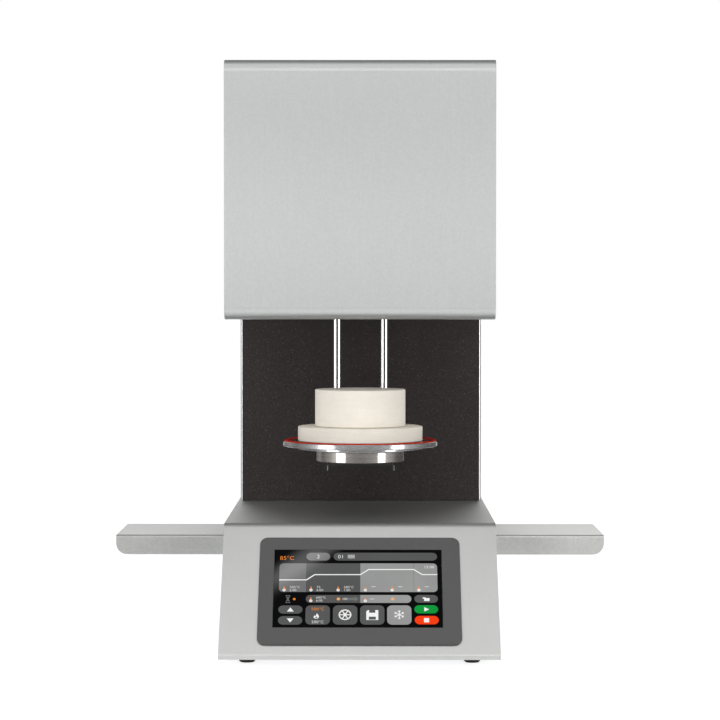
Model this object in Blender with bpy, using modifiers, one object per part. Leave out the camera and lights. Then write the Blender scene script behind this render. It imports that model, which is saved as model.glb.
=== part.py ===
"""Dental firing furnace with a lift that carries the firing socket up into the chamber.

A folded metal base with a sloped display, a speckled column behind it and a
metal hood above. Two guide rods hang out of the hood and carry the lift, whose
flange closes the vacuum chamber from below. All lengths are in metres, +Z is up
and the display faces -Y. The origin is the middle of the object's box, on the
surface that the furnace stands on.
"""
import math

import bmesh
import bpy
from mathutils import Euler, Matrix, Vector

# General
sheet = 0.0015
seat_gap = 0.0003
overrun = 0.002
round_segments = 48
lining_segments = 36
rod_segments = 24
small_segments = 16
bend_steps = 6
merge_distance = 0.00002
smooth_angle = math.radians(40)

# Housing
housing_width = 0.254
slope_run = 0.098
column_depth = 0.085
nipple_reach = 0.018
foot_clearance = 0.0078
lip_height = 0.0042
base_height = 0.1136
working_height = 0.1905
base_bend_radius = 0.012
lip_bend_radius = 0.003
rear_bend_radius = 0.004
hood_bend_radius = 0.012

# Feet
foot_radius = 0.0075
foot_chamfer = 0.0012
foot_side_inset = 0.0243
foot_front_inset = 0.0407
foot_rear_inset = 0.040

# Display
bezel_thickness = 0.0012
bezel_radius = 0.0075
bezel_bevel = 0.0003
bezel_from_lip = 0.0103
screen_width = 0.15408
screen_height = 0.08592
screen_thickness = 0.006
screen_shift_x = -0.0016
bezel_side_margin = 0.01546
bezel_foot_margin = 0.0189
bezel_head_margin = 0.01418
screen_recess = 0.0003
display_window_margin = 0.002
display_tray_margin = 0.006
display_tray_floor = 0.0015
board_post_radius = 0.003
board_post_height = 0.005
board_thickness = 0.0016
board_margin = 0.004
board_connector_height = 0.007

# Power parts inside the base
transformer_radius = 0.048
transformer_bore = 0.018
transformer_height = 0.042
transformer_round = 0.008
transformer_from_rear = 0.145
transformer_side_share = -0.354
clamp_radius = 0.028
clamp_thickness = 0.002
clamp_bolt_radius = 0.004
power_board_width = 0.075
power_board_depth = 0.120
power_board_side_share = 0.488
power_board_from_rear = 0.140
power_board_post = 0.006
relay_height = 0.022
relay_width = 0.030
relay_depth = 0.044

# Shelves
shelf_reach = 0.1040
shelf_depth = 0.1145
shelf_setback = 0.028
shelf_drop = 0.0139
shelf_flange = 0.0186
shelf_bend_radius = 0.0025
shelf_corner_radius = 0.0105

# Rear connectors
connector_height_share = 0.42
inlet_side_share = -0.72
outlet_side_share = -0.41
left_fuse_side_share = -0.17
right_fuse_side_share = -0.02
usb_side_share = 0.28
switch_side_share = 0.69
connector_flange_width = 0.030
connector_flange_height = 0.026
connector_flange_thickness = 0.0025
connector_corner_radius = 0.003
connector_body_width = 0.0265
connector_body_height = 0.0190
connector_body_depth = 0.024
connector_wall = 0.0018
connector_cavity_depth = 0.016
blade_thickness = 0.002
blade_height = 0.004
blade_length = 0.013
blade_spacing = 0.007
blade_rise = 0.004
fuse_radius = 0.0065
fuse_length = 0.009
fuse_body_radius = 0.0052
fuse_body_length = 0.022
fuse_slot = 0.0016
usb_width = 0.0145
usb_height = 0.0072
usb_depth = 0.014
usb_wall = 0.0011
usb_flange = 0.0015
switch_window_width = 0.0190
switch_window_height = 0.0260
switch_rim = 0.0026
switch_rim_thickness = 0.0022
switch_sleeve_wall = 0.0012
switch_sleeve_depth = 0.012
rocker_half_angle = math.radians(12)
rocker_corner_angle = math.radians(25)
rocker_foot_angle = math.radians(-16)
rocker_dip = 0.0026
rocker_pivot_depth = 0.0008

# Column
column_side_inset = 0.0023
column_bend_radius = 0.0022
vent_slot_width = 0.045
vent_slot_height = 0.003
vent_slot_pitch = 0.0075
vent_rows = 9
vent_side_share = 0.25
vent_top_margin = 0.110
rear_vent_low_margin = 0.075
rear_vent_low_rows = 7

# Hood sides
side_vent_length = 0.030
side_vent_width = 0.003
side_vent_pitch = 0.008
side_vent_count = 12
side_vent_from_rear = 0.110
side_vent_from_top = 0.040

# Lift
lift_clearance = 0.0440
arm_rod_margin = 0.009
arm_sheet = 0.002
arm_height = 0.0077
arm_front_reach = 0.030
arm_bend_radius = 0.0026
collar_radius = 0.04375
collar_height = 0.0104
collar_wall = 0.009
collar_chamfer = 0.0006
flange_ledge = 0.0149
flange_rim_height = 0.0050
flange_bowl_height = 0.0040
flange_bowl_wall = 0.0026
flange_bowl_inset = 0.0142
flange_foot_inset = 0.0110
flange_chamfer = 0.0005
seal_section_radius = 0.0015
seal_inset = 0.0027
seal_proud = 0.0012
tier_step = 0.0167
tier_height = 0.0138
socket_radius = 0.0440
socket_height = 0.0357
ceramic_chamfer = 0.0006
rod_radius = 0.0040
rod_spacing = 0.0480
rod_chamfer = 0.0006
running_gap = 0.0003
clamp_block_half_depth = 0.010
clamp_block_height = 0.0090

# Chamber
seal_plate_thickness = 0.0045
seal_plate_margin = 0.001
flange_clearance = 0.0044
mouth_clearance = 0.0023
mouth_wall = 0.0152
rod_opening_radius = 0.0065
mouth_ring_height = 0.0140
muffle_height = 0.0910
ceiling_height = 0.040
can_from_hood_front = 0.017
rod_from_can = 0.020
rod_from_column = 0.052
socket_clearance = 0.0065
wire_radius = 0.0016
coil_loops = 10
loop_points = 24
coil_from_foot = 0.009
coil_from_top = 0.009
terminal_radius = 0.007
terminal_length = 0.014
terminal_shoulder = 0.008
lead_length = 0.016
terminal_bore_radius = 0.0024
terminal_nut_radius = 0.0045
probe_radius = 0.0015
probe_reach = 0.012
probe_head_radius = 0.009
probe_head_height = 0.014
stub_radius = 0.005
stub_height = 0.010
stub_side = -0.045

# Drive inside the head
guide_block_height = 0.040
guide_block_half_depth = 0.014
guide_block_side_wall = 0.012
bush_wall = 0.0035
bush_flange = 0.002
bush_flange_height = 0.002
spindle_radius = 0.004
spindle_seat_depth = 0.012
crosshead_height = 0.010
nut_radius = 0.008
nut_flange_radius = 0.0105
nut_flange_height = 0.003
drive_plate = 0.003
drive_bend_radius = 0.0045
drive_half_width = 0.030
drive_gap = 0.004
drive_foot = 0.016
drive_top_clearance = 0.006
motor_side = 0.042
motor_height = 0.036
motor_bevel = 0.003
motor_shaft_depth = 0.008
motor_head_room = 0.0152

# Hose
hose_radius = 0.005
hose_rise = 0.030
hose_column_inset = 0.040
hose_points_per_span = 2
nipple_height = 0.035
nipple_flange_radius = 0.0085
nipple_flange_height = 0.004
nipple_shank_radius = 0.0050
nipple_shank_length = 0.010
nipple_bore_radius = 0.0020
nipple_root_radius = 0.0032
nipple_barb_radius = 0.0042
nipple_barbs = 3

# Places that follow from the sizes
half_width = housing_width / 2
column_width = housing_width - 2 * column_side_inset
arm_width = rod_spacing + 2 * arm_rod_margin
tier_radius = socket_radius + tier_step
flange_radius = tier_radius + flange_ledge
flange_bowl_radius = flange_radius - flange_bowl_inset
flange_foot_radius = flange_bowl_radius - flange_foot_inset
flange_opening_radius = flange_radius + flange_clearance
muffle_bore_radius = socket_radius + socket_clearance
mouth_radius = tier_radius + mouth_clearance
fibre_radius = mouth_radius + mouth_wall
can_radius = fibre_radius + seat_gap + sheet
lift_setback = can_from_hood_front + can_radius
rod_setback = can_radius + rod_from_can
base_top_depth = lift_setback + rod_setback + rod_from_column
total_depth = slope_run + base_top_depth + column_depth + nipple_reach
front_y = -total_depth / 2
bend_y = front_y + slope_run
hood_front_y = bend_y
lift_y = bend_y + lift_setback
rod_y = lift_y + rod_setback
column_front_y = bend_y + base_top_depth
rear_y = column_front_y + column_depth
base_bottom_z = foot_clearance
base_top_z = base_bottom_z + base_height
hood_bottom_z = base_top_z + working_height
seal_plate_z = hood_bottom_z + sheet + seat_gap
seal_plate_top = seal_plate_z + seal_plate_thickness
chamber_foot_z = seal_plate_top + seat_gap
muffle_z = chamber_foot_z + mouth_ring_height + seat_gap
ceiling_z = muffle_z + muffle_height + seat_gap
lid_z = ceiling_z + ceiling_height + seat_gap
lid_top = lid_z + sheet
coil_radius = muffle_bore_radius - seat_gap - wire_radius

arm_bottom_z = base_top_z + lift_clearance
arm_top_z = arm_bottom_z + arm_height
collar_z = arm_top_z + seat_gap
flange_z = collar_z + collar_height + seat_gap
flange_top_z = flange_z + flange_bowl_height + flange_rim_height
seal_radius = flange_radius - seal_inset
seal_z = flange_top_z + seal_proud - seal_section_radius
tier_z = flange_top_z + seat_gap
socket_z = tier_z + tier_height + seat_gap
lift_travel = seal_plate_z - flange_top_z - seal_proud - seat_gap

guide_z = seal_plate_top + seat_gap
guide_top = guide_z + guide_block_height
bush_top = guide_top + bush_flange_height
crosshead_z = bush_top + seat_gap
crosshead_top = crosshead_z + crosshead_height
drive_top_z = crosshead_top + nut_flange_height + lift_travel + drive_top_clearance
motor_z = drive_top_z + drive_plate + seat_gap
hood_top_z = motor_z + motor_height + motor_head_room + sheet

slope_rise = base_height - lip_height
slope_angle = math.atan2(slope_rise, slope_run)
slope_length = math.hypot(slope_rise, slope_run)
slope_centre_y = front_y + slope_run / 2
slope_centre_z = base_bottom_z + lip_height + slope_rise / 2
bezel_width = screen_width + 2 * bezel_side_margin
bezel_height = bezel_foot_margin + screen_height + bezel_head_margin
bezel_centre_v = bezel_from_lip + bezel_height / 2 - slope_length / 2
screen_centre_v = bezel_from_lip + bezel_foot_margin + screen_height / 2 - slope_length / 2
transformer_x = half_width * transformer_side_share
power_board_x = half_width * power_board_side_share
inlet_x = half_width * inlet_side_share
outlet_x = half_width * outlet_side_share
left_fuse_x = half_width * left_fuse_side_share
right_fuse_x = half_width * right_fuse_side_share
usb_x = half_width * usb_side_share
switch_x = half_width * switch_side_share


def clear_scene():
    """Remove what the scene holds."""
    for item in list(bpy.data.objects):
        bpy.data.objects.remove(item, do_unlink=True)


def new_collection(name):
    """Make a collection in the scene."""
    collection = bpy.data.collections.new(name)
    bpy.context.scene.collection.children.link(collection)
    return collection


def new_material(name, colour, roughness, metallic):
    """A plain shader with one colour."""
    material = bpy.data.materials.new(name)
    material.use_nodes = True
    shader = material.node_tree.nodes["Principled BSDF"]
    shader.inputs["Base Color"].default_value = (*colour, 1)
    shader.inputs["Roughness"].default_value = roughness
    shader.inputs["Metallic"].default_value = metallic
    material.diffuse_color = (*colour, 1)
    return material


def make_materials():
    """The materials that the pieces share."""
    looks = {
        "satin_sheet": ((0.56, 0.57, 0.56), 0.38, 0.9),
        "speckled_coat": ((0.030, 0.027, 0.027), 0.55, 0.0),
        "black_coat": ((0.012, 0.012, 0.012), 0.5, 0.0),
        "galvanised": ((0.45, 0.46, 0.46), 0.5, 0.9),
        "rubber": ((0.012, 0.010, 0.010), 0.8, 0.0),
        "bezel_grey": ((0.11, 0.11, 0.11), 0.5, 0.0),
        "screen_glass": ((0.004, 0.004, 0.005), 0.12, 0.0),
        "circuit_board": ((0.01, 0.10, 0.03), 0.5, 0.0),
        "copper_winding": ((0.45, 0.16, 0.06), 0.4, 0.8),
        "black_plastic": ((0.010, 0.010, 0.011), 0.45, 0.0),
        "brass": ((0.60, 0.42, 0.16), 0.3, 1.0),
        "aluminium": ((0.62, 0.62, 0.62), 0.25, 1.0),
        "chrome": ((0.75, 0.75, 0.75), 0.08, 1.0),
        "fibre": ((0.80, 0.76, 0.70), 0.95, 0.0),
        "silicone": ((0.55, 0.05, 0.02), 0.5, 0.0),
        "heating_wire": ((0.12, 0.11, 0.11), 0.5, 0.7),
        "porcelain": ((0.75, 0.73, 0.68), 0.3, 0.0),
        "bronze": ((0.42, 0.27, 0.12), 0.4, 1.0),
        "clear_hose": ((0.35, 0.36, 0.36), 0.4, 0.0),
    }
    return {name: new_material(name, *values) for name, values in looks.items()}


clear_scene()
parts = new_collection("firing_furnace")
cutters = new_collection("cutters")
materials = make_materials()


def place(item, collection, location, rotation):
    """Link an object and put it where it belongs."""
    collection.objects.link(item)
    item.location = location
    item.rotation_euler = rotation
    return item


def dress(item, material):
    """Give an object its one material and smooth round faces."""
    item.data.materials.clear()
    item.data.materials.append(materials[material])
    if item.type == "MESH":
        item.data.shade_smooth()
        item.data.set_sharp_from_angle(angle=smooth_angle)
    return item


def hide_tool(item):
    """Mark an object that only cuts or joins."""
    item.hide_render = True
    item.display_type = "WIRE"
    return item


def box(name, size, centre, rotation=(0, 0, 0), collection=None):
    """A block from a unit cube."""
    mesh = bpy.data.meshes.new(name)
    shape = bmesh.new()
    bmesh.ops.create_cube(shape, size=1)
    bmesh.ops.scale(shape, vec=size, verts=shape.verts)
    shape.to_mesh(mesh)
    shape.free()
    item = bpy.data.objects.new(name, mesh)
    return place(item, collection or parts, centre, rotation)


def cylinder(name, radius, height, foot, segments=round_segments, rotation=(0, 0, 0), collection=None):
    """An upright cylinder that starts at its foot."""
    mesh = bpy.data.meshes.new(name)
    shape = bmesh.new()
    bmesh.ops.create_cone(
        shape, cap_ends=True, segments=segments, radius1=radius, radius2=radius, depth=height
    )
    bmesh.ops.translate(shape, vec=(0, 0, height / 2), verts=shape.verts)
    shape.to_mesh(mesh)
    shape.free()
    item = bpy.data.objects.new(name, mesh)
    return place(item, collection or parts, foot, rotation)


def turned(name, profile, location, segments=round_segments, rotation=(0, 0, 0), closed=False, collection=None):
    """A profile of radius and height, turned round its own Z axis."""
    mesh = bpy.data.meshes.new(name)
    count = len(profile)
    edges = [(i, i + 1) for i in range(count - 1)]
    if closed:
        edges.append((count - 1, 0))
    mesh.from_pydata([(radius, 0, height) for radius, height in profile], edges, [])
    item = bpy.data.objects.new(name, mesh)
    place(item, collection or parts, location, rotation)
    screw = item.modifiers.new("turn", "SCREW")
    screw.axis = "Z"
    screw.angle = math.tau
    screw.steps = segments
    screw.render_steps = segments
    screw.use_merge_vertices = True
    screw.merge_threshold = merge_distance
    screw.use_smooth_shade = True
    return item


def as_mesh(item):
    """Turn a curve or a modified object into a welded mesh object."""
    bpy.context.view_layer.update()
    evaluated = item.evaluated_get(bpy.context.evaluated_depsgraph_get())
    mesh = bpy.data.meshes.new_from_object(evaluated)
    shape = bmesh.new()
    shape.from_mesh(mesh)
    bmesh.ops.remove_doubles(shape, verts=shape.verts, dist=merge_distance)
    shape.to_mesh(mesh)
    shape.free()
    name = item.name
    collection = item.users_collection[0]
    matrix = item.matrix_world.copy()
    bpy.data.objects.remove(item, do_unlink=True)
    mesh.name = name
    solid = bpy.data.objects.new(name, mesh)
    collection.objects.link(solid)
    solid.matrix_world = matrix
    return solid


def prism(name, outlines, thickness, location, rotation=(0, 0, 0), collection=None):
    """A flat outline, with any holes, given a thickness about its own plane."""
    curve = bpy.data.curves.new(name, "CURVE")
    curve.dimensions = "2D"
    curve.fill_mode = "BOTH"
    curve.extrude = thickness / 2
    for outline in outlines:
        spline = curve.splines.new("POLY")
        spline.points.add(len(outline) - 1)
        for point, (u, v) in zip(spline.points, outline):
            point.co = (u, v, 0, 1)
        spline.use_cyclic_u = True
    item = bpy.data.objects.new(name, curve)
    place(item, collection or parts, location, rotation)
    return as_mesh(item)


def boolean(item, tool, operation):
    """Cut from an object, or join to it, with another object."""
    modifier = item.modifiers.new(tool.name, "BOOLEAN")
    modifier.operation = operation
    modifier.solver = "EXACT"
    modifier.object = tool
    for collection in list(tool.users_collection):
        collection.objects.unlink(tool)
    cutters.objects.link(tool)
    hide_tool(tool)
    return item


def cut(item, tool):
    """Take the tool's shape out of the object."""
    return boolean(item, tool, "DIFFERENCE")


def join(item, tool):
    """Add the tool's shape to the object."""
    return boolean(item, tool, "UNION")


def bevel(item, width, segments=1):
    """Break the sharp edges of an object."""
    modifier = item.modifiers.new("edges", "BEVEL")
    modifier.width = width
    modifier.segments = segments
    modifier.limit_method = "ANGLE"
    modifier.angle_limit = smooth_angle
    return item


# Flat outlines
side_view = (math.pi / 2, 0, math.pi / 2)
front_view = (math.pi / 2, 0, 0)
rearward = (-math.pi / 2, 0, 0)
sideward = (0, math.pi / 2, 0)


def rounded(points, radii, steps=bend_steps):
    """Replace each corner of an outline by an arc of its radius."""
    result = []
    count = len(points)
    for i, radius in enumerate(radii):
        corner = Vector(points[i])
        before = (Vector(points[i - 1]) - corner).normalized()
        after = (Vector(points[(i + 1) % count]) - corner).normalized()
        if radius == 0:
            result.append(tuple(corner))
            continue
        half = before.angle(after) / 2
        reach = radius / math.tan(half)
        centre = corner + (before + after).normalized() * radius / math.sin(half)
        start = corner + before * reach - centre
        sweep = math.pi - 2 * half
        turn = 1 if before.x * after.y - before.y * after.x < 0 else -1
        for step in range(steps + 1):
            angle = turn * sweep * step / steps
            arm = Matrix.Rotation(angle, 2) @ start
            result.append(tuple(centre + arm))
    return result


def rectangle(width, height, centre_u=0, centre_v=0, radius=0, steps=bend_steps):
    """A rectangle round a centre, with rounded corners where a radius is given."""
    left = centre_u - width / 2
    right = centre_u + width / 2
    low = centre_v - height / 2
    high = centre_v + height / 2
    points = [(left, low), (right, low), (right, high), (left, high)]
    return rounded(points, [radius] * 4, steps)


def stadium(length, width, centre_u, centre_v, upright=False, steps=bend_steps):
    """A slot with round ends."""
    radius = width / 2
    reach = (length - width) / 2
    result = []
    for end in (1, -1):
        for step in range(steps + 1):
            angle = -math.pi / 2 + math.pi * step / steps
            u = end * (reach + radius * math.cos(angle))
            v = end * radius * math.sin(angle)
            result.append((centre_u - v, centre_v + u) if upright else (centre_u + u, centre_v + v))
    return result


def circle(radius, centre_u=0, centre_v=0, segments=round_segments):
    """A round outline."""
    return [
        (
            centre_u + radius * math.cos(math.tau * i / segments),
            centre_v + radius * math.sin(math.tau * i / segments),
        )
        for i in range(segments)
    ]


def offset_path(path, distance):
    """Shift an open path to its left by a distance."""
    shifted = []
    lines = []
    for a, b in zip(path, path[1:]):
        along = (Vector(b) - Vector(a)).normalized()
        left = Vector((-along.y, along.x)) * distance
        lines.append((Vector(a) + left, Vector(b) + left, along))
    shifted.append(tuple(lines[0][0]))
    for (a, _, u), (c, _, w) in zip(lines, lines[1:]):
        cross = u.x * w.y - u.y * w.x
        t = ((c.x - a.x) * w.y - (c.y - a.y) * w.x) / cross
        shifted.append(tuple(a + u * t))
    shifted.append(tuple(lines[-1][1]))
    return shifted


def folded(path, radii, thickness):
    """The outline of a folded sheet whose outer face follows a path; the sheet lies on its right."""
    inner = offset_path(path, -thickness)
    outer_ends = [0, *radii, 0]
    inner_ends = [0, *[max(radius - thickness, seat_gap) for radius in radii], 0]
    points = list(path) + inner[::-1]
    return rounded(points, outer_ends + inner_ends[::-1])


# Base
def base_path():
    """The outer side view of the base, from its front lip over the top to the rear."""
    return [
        (front_y, base_bottom_z),
        (front_y, base_bottom_z + lip_height),
        (bend_y, base_top_z),
        (rear_y, base_top_z),
        (rear_y, base_bottom_z),
    ]


def base_radii():
    """The bend radii along the side view of the base."""
    return [lip_bend_radius, base_bend_radius, rear_bend_radius]


def make_base_housing():
    """The folded cover of the base, open below, with the display window and connector holes."""
    outer = rounded(base_path(), [0, *base_radii(), 0])
    housing = prism("base_housing", [outer], housing_width, (0, 0, 0), side_view)
    inner = offset_path(base_path(), -sheet)
    inner[0] = (inner[0][0], base_bottom_z - overrun)
    inner[-1] = (inner[-1][0], base_bottom_z - overrun)
    inner_radii = [max(radius - sheet, seat_gap) for radius in base_radii()]
    hollow = prism(
        "base_hollow", [rounded(inner, [0, *inner_radii, 0])], housing_width - 2 * sheet, (0, 0, 0), side_view
    )
    cut(housing, hollow)
    window = box(
        "display_window",
        (
            screen_width + 2 * display_window_margin,
            screen_height + 2 * display_window_margin,
            2 * (sheet + overrun),
        ),
        slope_point(screen_shift_x, screen_centre_v, -sheet / 2),
        (slope_angle, 0, 0),
    )
    cut(housing, window)
    for index, outline in enumerate(connector_holes()):
        hole = prism(
            f"connector_hole_{index}", [outline], 2 * (sheet + overrun), (0, rear_y - sheet / 2, 0), front_view
        )
        cut(housing, hole)
    return dress(housing, "satin_sheet")


def slope_point(u, v, w):
    """A point across, up and out from the middle of the sloped front face."""
    c = math.cos(slope_angle)
    s = math.sin(slope_angle)
    return (u, slope_centre_y + v * c - w * s, slope_centre_z + v * s + w * c)


def make_base_plate():
    """The bottom plate that closes the base."""
    inner_front = front_y + sheet + seat_gap
    inner_rear = rear_y - sheet - seat_gap
    width = housing_width - 2 * (sheet + seat_gap)
    depth = inner_rear - inner_front
    middle_y = (inner_front + inner_rear) / 2
    plate = box("base_plate", (width, depth, sheet), (0, middle_y, base_bottom_z + sheet / 2))
    return dress(plate, "galvanised")


def make_feet():
    """Four rubber feet under the bottom plate."""
    height = foot_clearance - seat_gap
    profile = [
        (0, height),
        (foot_radius, height),
        (foot_radius, foot_chamfer),
        (foot_radius - foot_chamfer, 0),
        (0, 0),
    ]
    side = half_width - foot_side_inset
    for depth_name, y in (("front", front_y + foot_front_inset), ("rear", rear_y - foot_rear_inset)):
        for side_name, x in (("left", -side), ("right", side)):
            foot = turned(f"foot_{depth_name}_{side_name}", profile, (x, y, 0), small_segments)
            dress(foot, "rubber")


# Display
def make_display():
    """The bezel, the touch screen, its tray and the control board on the slope."""
    turn = (slope_angle, 0, 0)
    bezel_w = seat_gap + bezel_thickness / 2
    window = rectangle(
        screen_width + 2 * seat_gap,
        screen_height + 2 * seat_gap,
        screen_shift_x,
        screen_centre_v - bezel_centre_v,
    )
    outer = rectangle(bezel_width, bezel_height, radius=bezel_radius)
    bezel = prism("display_bezel", [outer, window], bezel_thickness, slope_point(0, bezel_centre_v, bezel_w), turn)
    bevel(bezel, bezel_bevel)
    dress(bezel, "bezel_grey")

    screen_top = seat_gap + bezel_thickness - screen_recess
    screen = box(
        "touchscreen",
        (screen_width, screen_height, screen_thickness),
        slope_point(screen_shift_x, screen_centre_v, screen_top - screen_thickness / 2),
        turn,
    )
    dress(screen, "screen_glass")

    tray_top = -sheet - seat_gap
    tray_floor_top = screen_top - screen_thickness - seat_gap
    tray_bottom = tray_floor_top - display_tray_floor
    tray_width = screen_width + 2 * display_tray_margin
    tray_height = screen_height + 2 * display_tray_margin
    tray = box(
        "display_tray",
        (tray_width, tray_height, tray_top - tray_bottom),
        slope_point(screen_shift_x, screen_centre_v, (tray_top + tray_bottom) / 2),
        turn,
    )
    pocket = box(
        "display_pocket",
        (screen_width + 2 * seat_gap, screen_height + 2 * seat_gap, tray_top - tray_floor_top + overrun),
        slope_point(screen_shift_x, screen_centre_v, (tray_top + overrun + tray_floor_top) / 2),
        turn,
    )
    cut(tray, pocket)
    board_width = tray_width - 2 * board_margin
    board_height = tray_height - 2 * board_margin
    post_u = board_width / 2 - 2 * board_post_radius
    post_v = board_height / 2 - 2 * board_post_radius
    post_length = board_post_height + display_tray_floor / 2
    corners = [(-post_u, -post_v), (post_u, -post_v), (post_u, post_v), (-post_u, post_v)]
    for index, (u, v) in enumerate(corners):
        post = cylinder(
            f"board_post_{index}",
            board_post_radius,
            post_length,
            slope_point(screen_shift_x + u, screen_centre_v + v, tray_bottom - board_post_height),
            small_segments,
            turn,
        )
        join(tray, post)
    dress(tray, "galvanised")

    board_top = tray_bottom - board_post_height - seat_gap
    board = box(
        "control_board",
        (board_width, board_height, board_thickness),
        slope_point(screen_shift_x, screen_centre_v, board_top - board_thickness / 2),
        turn,
    )
    connector = box(
        "board_connector",
        (board_width / 2, board_connector_height, board_connector_height + board_thickness / 2),
        slope_point(
            screen_shift_x,
            screen_centre_v + board_height / 2 - board_connector_height,
            board_top - board_thickness - board_connector_height / 2 + board_thickness / 4,
        ),
        turn,
    )
    join(board, connector)
    dress(board, "circuit_board")


# Power parts
def make_power_parts():
    """The toroidal transformer, its clamp and the power board on the bottom plate."""
    floor_z = base_bottom_z + sheet + seat_gap
    y = rear_y - transformer_from_rear
    section = rounded(
        [
            (transformer_bore, 0),
            (transformer_bore, transformer_height),
            (transformer_radius, transformer_height),
            (transformer_radius, 0),
        ],
        [transformer_round] * 4,
        bend_steps // 3,
    )
    transformer = turned("transformer", section, (transformer_x, y, floor_z), lining_segments, closed=True)
    dress(transformer, "copper_winding")
    clamp_z = transformer_height + seat_gap
    clamp = turned(
        "transformer_clamp",
        [
            (0, clamp_z + clamp_thickness),
            (clamp_radius, clamp_z + clamp_thickness),
            (clamp_radius, clamp_z),
            (clamp_bolt_radius, clamp_z),
            (clamp_bolt_radius, 0),
            (0, 0),
        ],
        (transformer_x, y, floor_z),
        small_segments,
    )
    dress(clamp, "galvanised")

    board_y = rear_y - power_board_from_rear
    board_z = floor_z + power_board_post
    board = box(
        "power_board",
        (power_board_width, power_board_depth, board_thickness),
        (power_board_x, board_y, board_z + board_thickness / 2),
    )
    post_x = power_board_width / 2 - 2 * board_post_radius
    post_y = power_board_depth / 2 - 2 * board_post_radius
    for index, (u, v) in enumerate([(-post_x, -post_y), (post_x, -post_y), (post_x, post_y), (-post_x, post_y)]):
        post = cylinder(
            f"power_post_{index}",
            board_post_radius,
            power_board_post + board_thickness / 2,
            (power_board_x + u, board_y + v, floor_z),
            small_segments,
        )
        join(board, post)
    relay = box(
        "relay_block",
        (relay_width, relay_depth, relay_height + board_thickness / 2),
        (power_board_x, board_y, board_z + board_thickness * 3 / 4 + relay_height / 2),
    )
    join(board, relay)
    dress(board, "circuit_board")


# Shelves
def make_shelf(name, side):
    """A folded shelf with a front and a rear flange, screwed to the side of the base."""
    front = bend_y + shelf_setback
    rear = front + shelf_depth
    top = base_top_z - shelf_drop
    foot = top - shelf_flange
    path = [(front, foot), (front, top), (rear, top), (rear, foot)]
    outline = folded(path, [shelf_bend_radius] * 2, sheet)
    start = half_width + seat_gap
    centre_x = side * (start + shelf_reach / 2)
    shelf = prism(name, [outline], shelf_reach, (centre_x, 0, 0), side_view)
    inner_u = -side * shelf_reach / 2
    outer_u = side * shelf_reach / 2
    front_outline = rounded(
        [
            (inner_u - side * overrun, foot),
            (outer_u, foot),
            (outer_u, top + overrun),
            (inner_u - side * overrun, top + overrun),
        ],
        [0, shelf_corner_radius, 0, 0],
    )
    trim = prism(
        f"{name}_trim",
        [front_outline],
        shelf_depth + 2 * overrun,
        (centre_x, (front + rear) / 2, 0),
        front_view,
    )
    boolean(shelf, trim, "INTERSECT")
    end = box(
        f"{name}_end",
        (sheet, shelf_depth - sheet, shelf_flange - sheet),
        (side * (start + sheet / 2), (front + rear) / 2, (top + foot) / 2),
    )
    join(shelf, end)
    return dress(shelf, "satin_sheet")


# Rear connectors
connector_z = base_bottom_z + base_height * connector_height_share


def fuse_places():
    """The places of the two fuse holders across the rear."""
    return [("left", left_fuse_x), ("right", right_fuse_x)]


def connector_holes():
    """The outlines of the holes that the rear connectors go through."""
    body_width = connector_body_width + 2 * seat_gap
    body_height = connector_body_height + 2 * seat_gap
    sleeve_width = switch_window_width + 2 * (switch_sleeve_wall + seat_gap)
    sleeve_height = switch_window_height + 2 * (switch_sleeve_wall + seat_gap)
    holes = [
        rectangle(body_width, body_height, inlet_x, connector_z),
        rectangle(body_width, body_height, outlet_x, connector_z),
        rectangle(usb_width + 2 * seat_gap, usb_height + 2 * seat_gap, usb_x, connector_z),
        rectangle(sleeve_width, sleeve_height, switch_x, connector_z),
    ]
    for _, x in fuse_places():
        holes.append(circle(fuse_body_radius + seat_gap, x, connector_z, small_segments))
    return holes


def make_connector_body(name, x):
    """The flange and body that the inlet and the pump outlet share."""
    flange = prism(
        name,
        [rectangle(connector_flange_width, connector_flange_height, radius=connector_corner_radius)],
        connector_flange_thickness,
        (x, rear_y + seat_gap + connector_flange_thickness / 2, connector_z),
        front_view,
    )
    reach = connector_body_depth + connector_flange_thickness / 2
    body = box(
        f"{name}_body",
        (connector_body_width, reach, connector_body_height),
        (x, rear_y + seat_gap + connector_flange_thickness / 2 - reach / 2, connector_z),
    )
    return join(flange, body)


def make_inlet():
    """The mains inlet, a recess with three blades."""
    inlet = make_connector_body("mains_inlet", inlet_x)
    face_y = rear_y + seat_gap + connector_flange_thickness
    cavity = box(
        "inlet_cavity",
        (
            connector_body_width - 2 * connector_wall,
            connector_cavity_depth + overrun,
            connector_body_height - 2 * connector_wall,
        ),
        (inlet_x, face_y + overrun - (connector_cavity_depth + overrun) / 2, connector_z),
    )
    cut(inlet, cavity)
    floor_y = face_y - connector_cavity_depth
    for index, (u, v) in enumerate([(-1, 0), (0, 1), (1, 0)]):
        blade = box(
            f"inlet_blade_{index}",
            (blade_thickness, blade_length + connector_wall, blade_height),
            (
                inlet_x + u * blade_spacing,
                floor_y + (blade_length - connector_wall) / 2,
                connector_z + v * blade_rise - blade_rise / 2,
            ),
        )
        join(inlet, blade)
    return dress(inlet, "black_plastic")


def make_outlet():
    """The outlet for the vacuum pump, a face with three slots in a ring-shaped groove."""
    outlet = make_connector_body("pump_outlet", outlet_x)
    face_y = rear_y + seat_gap + connector_flange_thickness
    for index, (u, v) in enumerate([(-1, 0), (0, 1), (1, 0)]):
        slot = box(
            f"outlet_slot_{index}",
            (blade_thickness + seat_gap, connector_cavity_depth + overrun, blade_height + seat_gap),
            (
                outlet_x + u * blade_spacing,
                face_y + overrun - (connector_cavity_depth + overrun) / 2,
                connector_z + v * blade_rise - blade_rise / 2,
            ),
        )
        cut(outlet, slot)
    return dress(outlet, "black_plastic")


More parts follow.
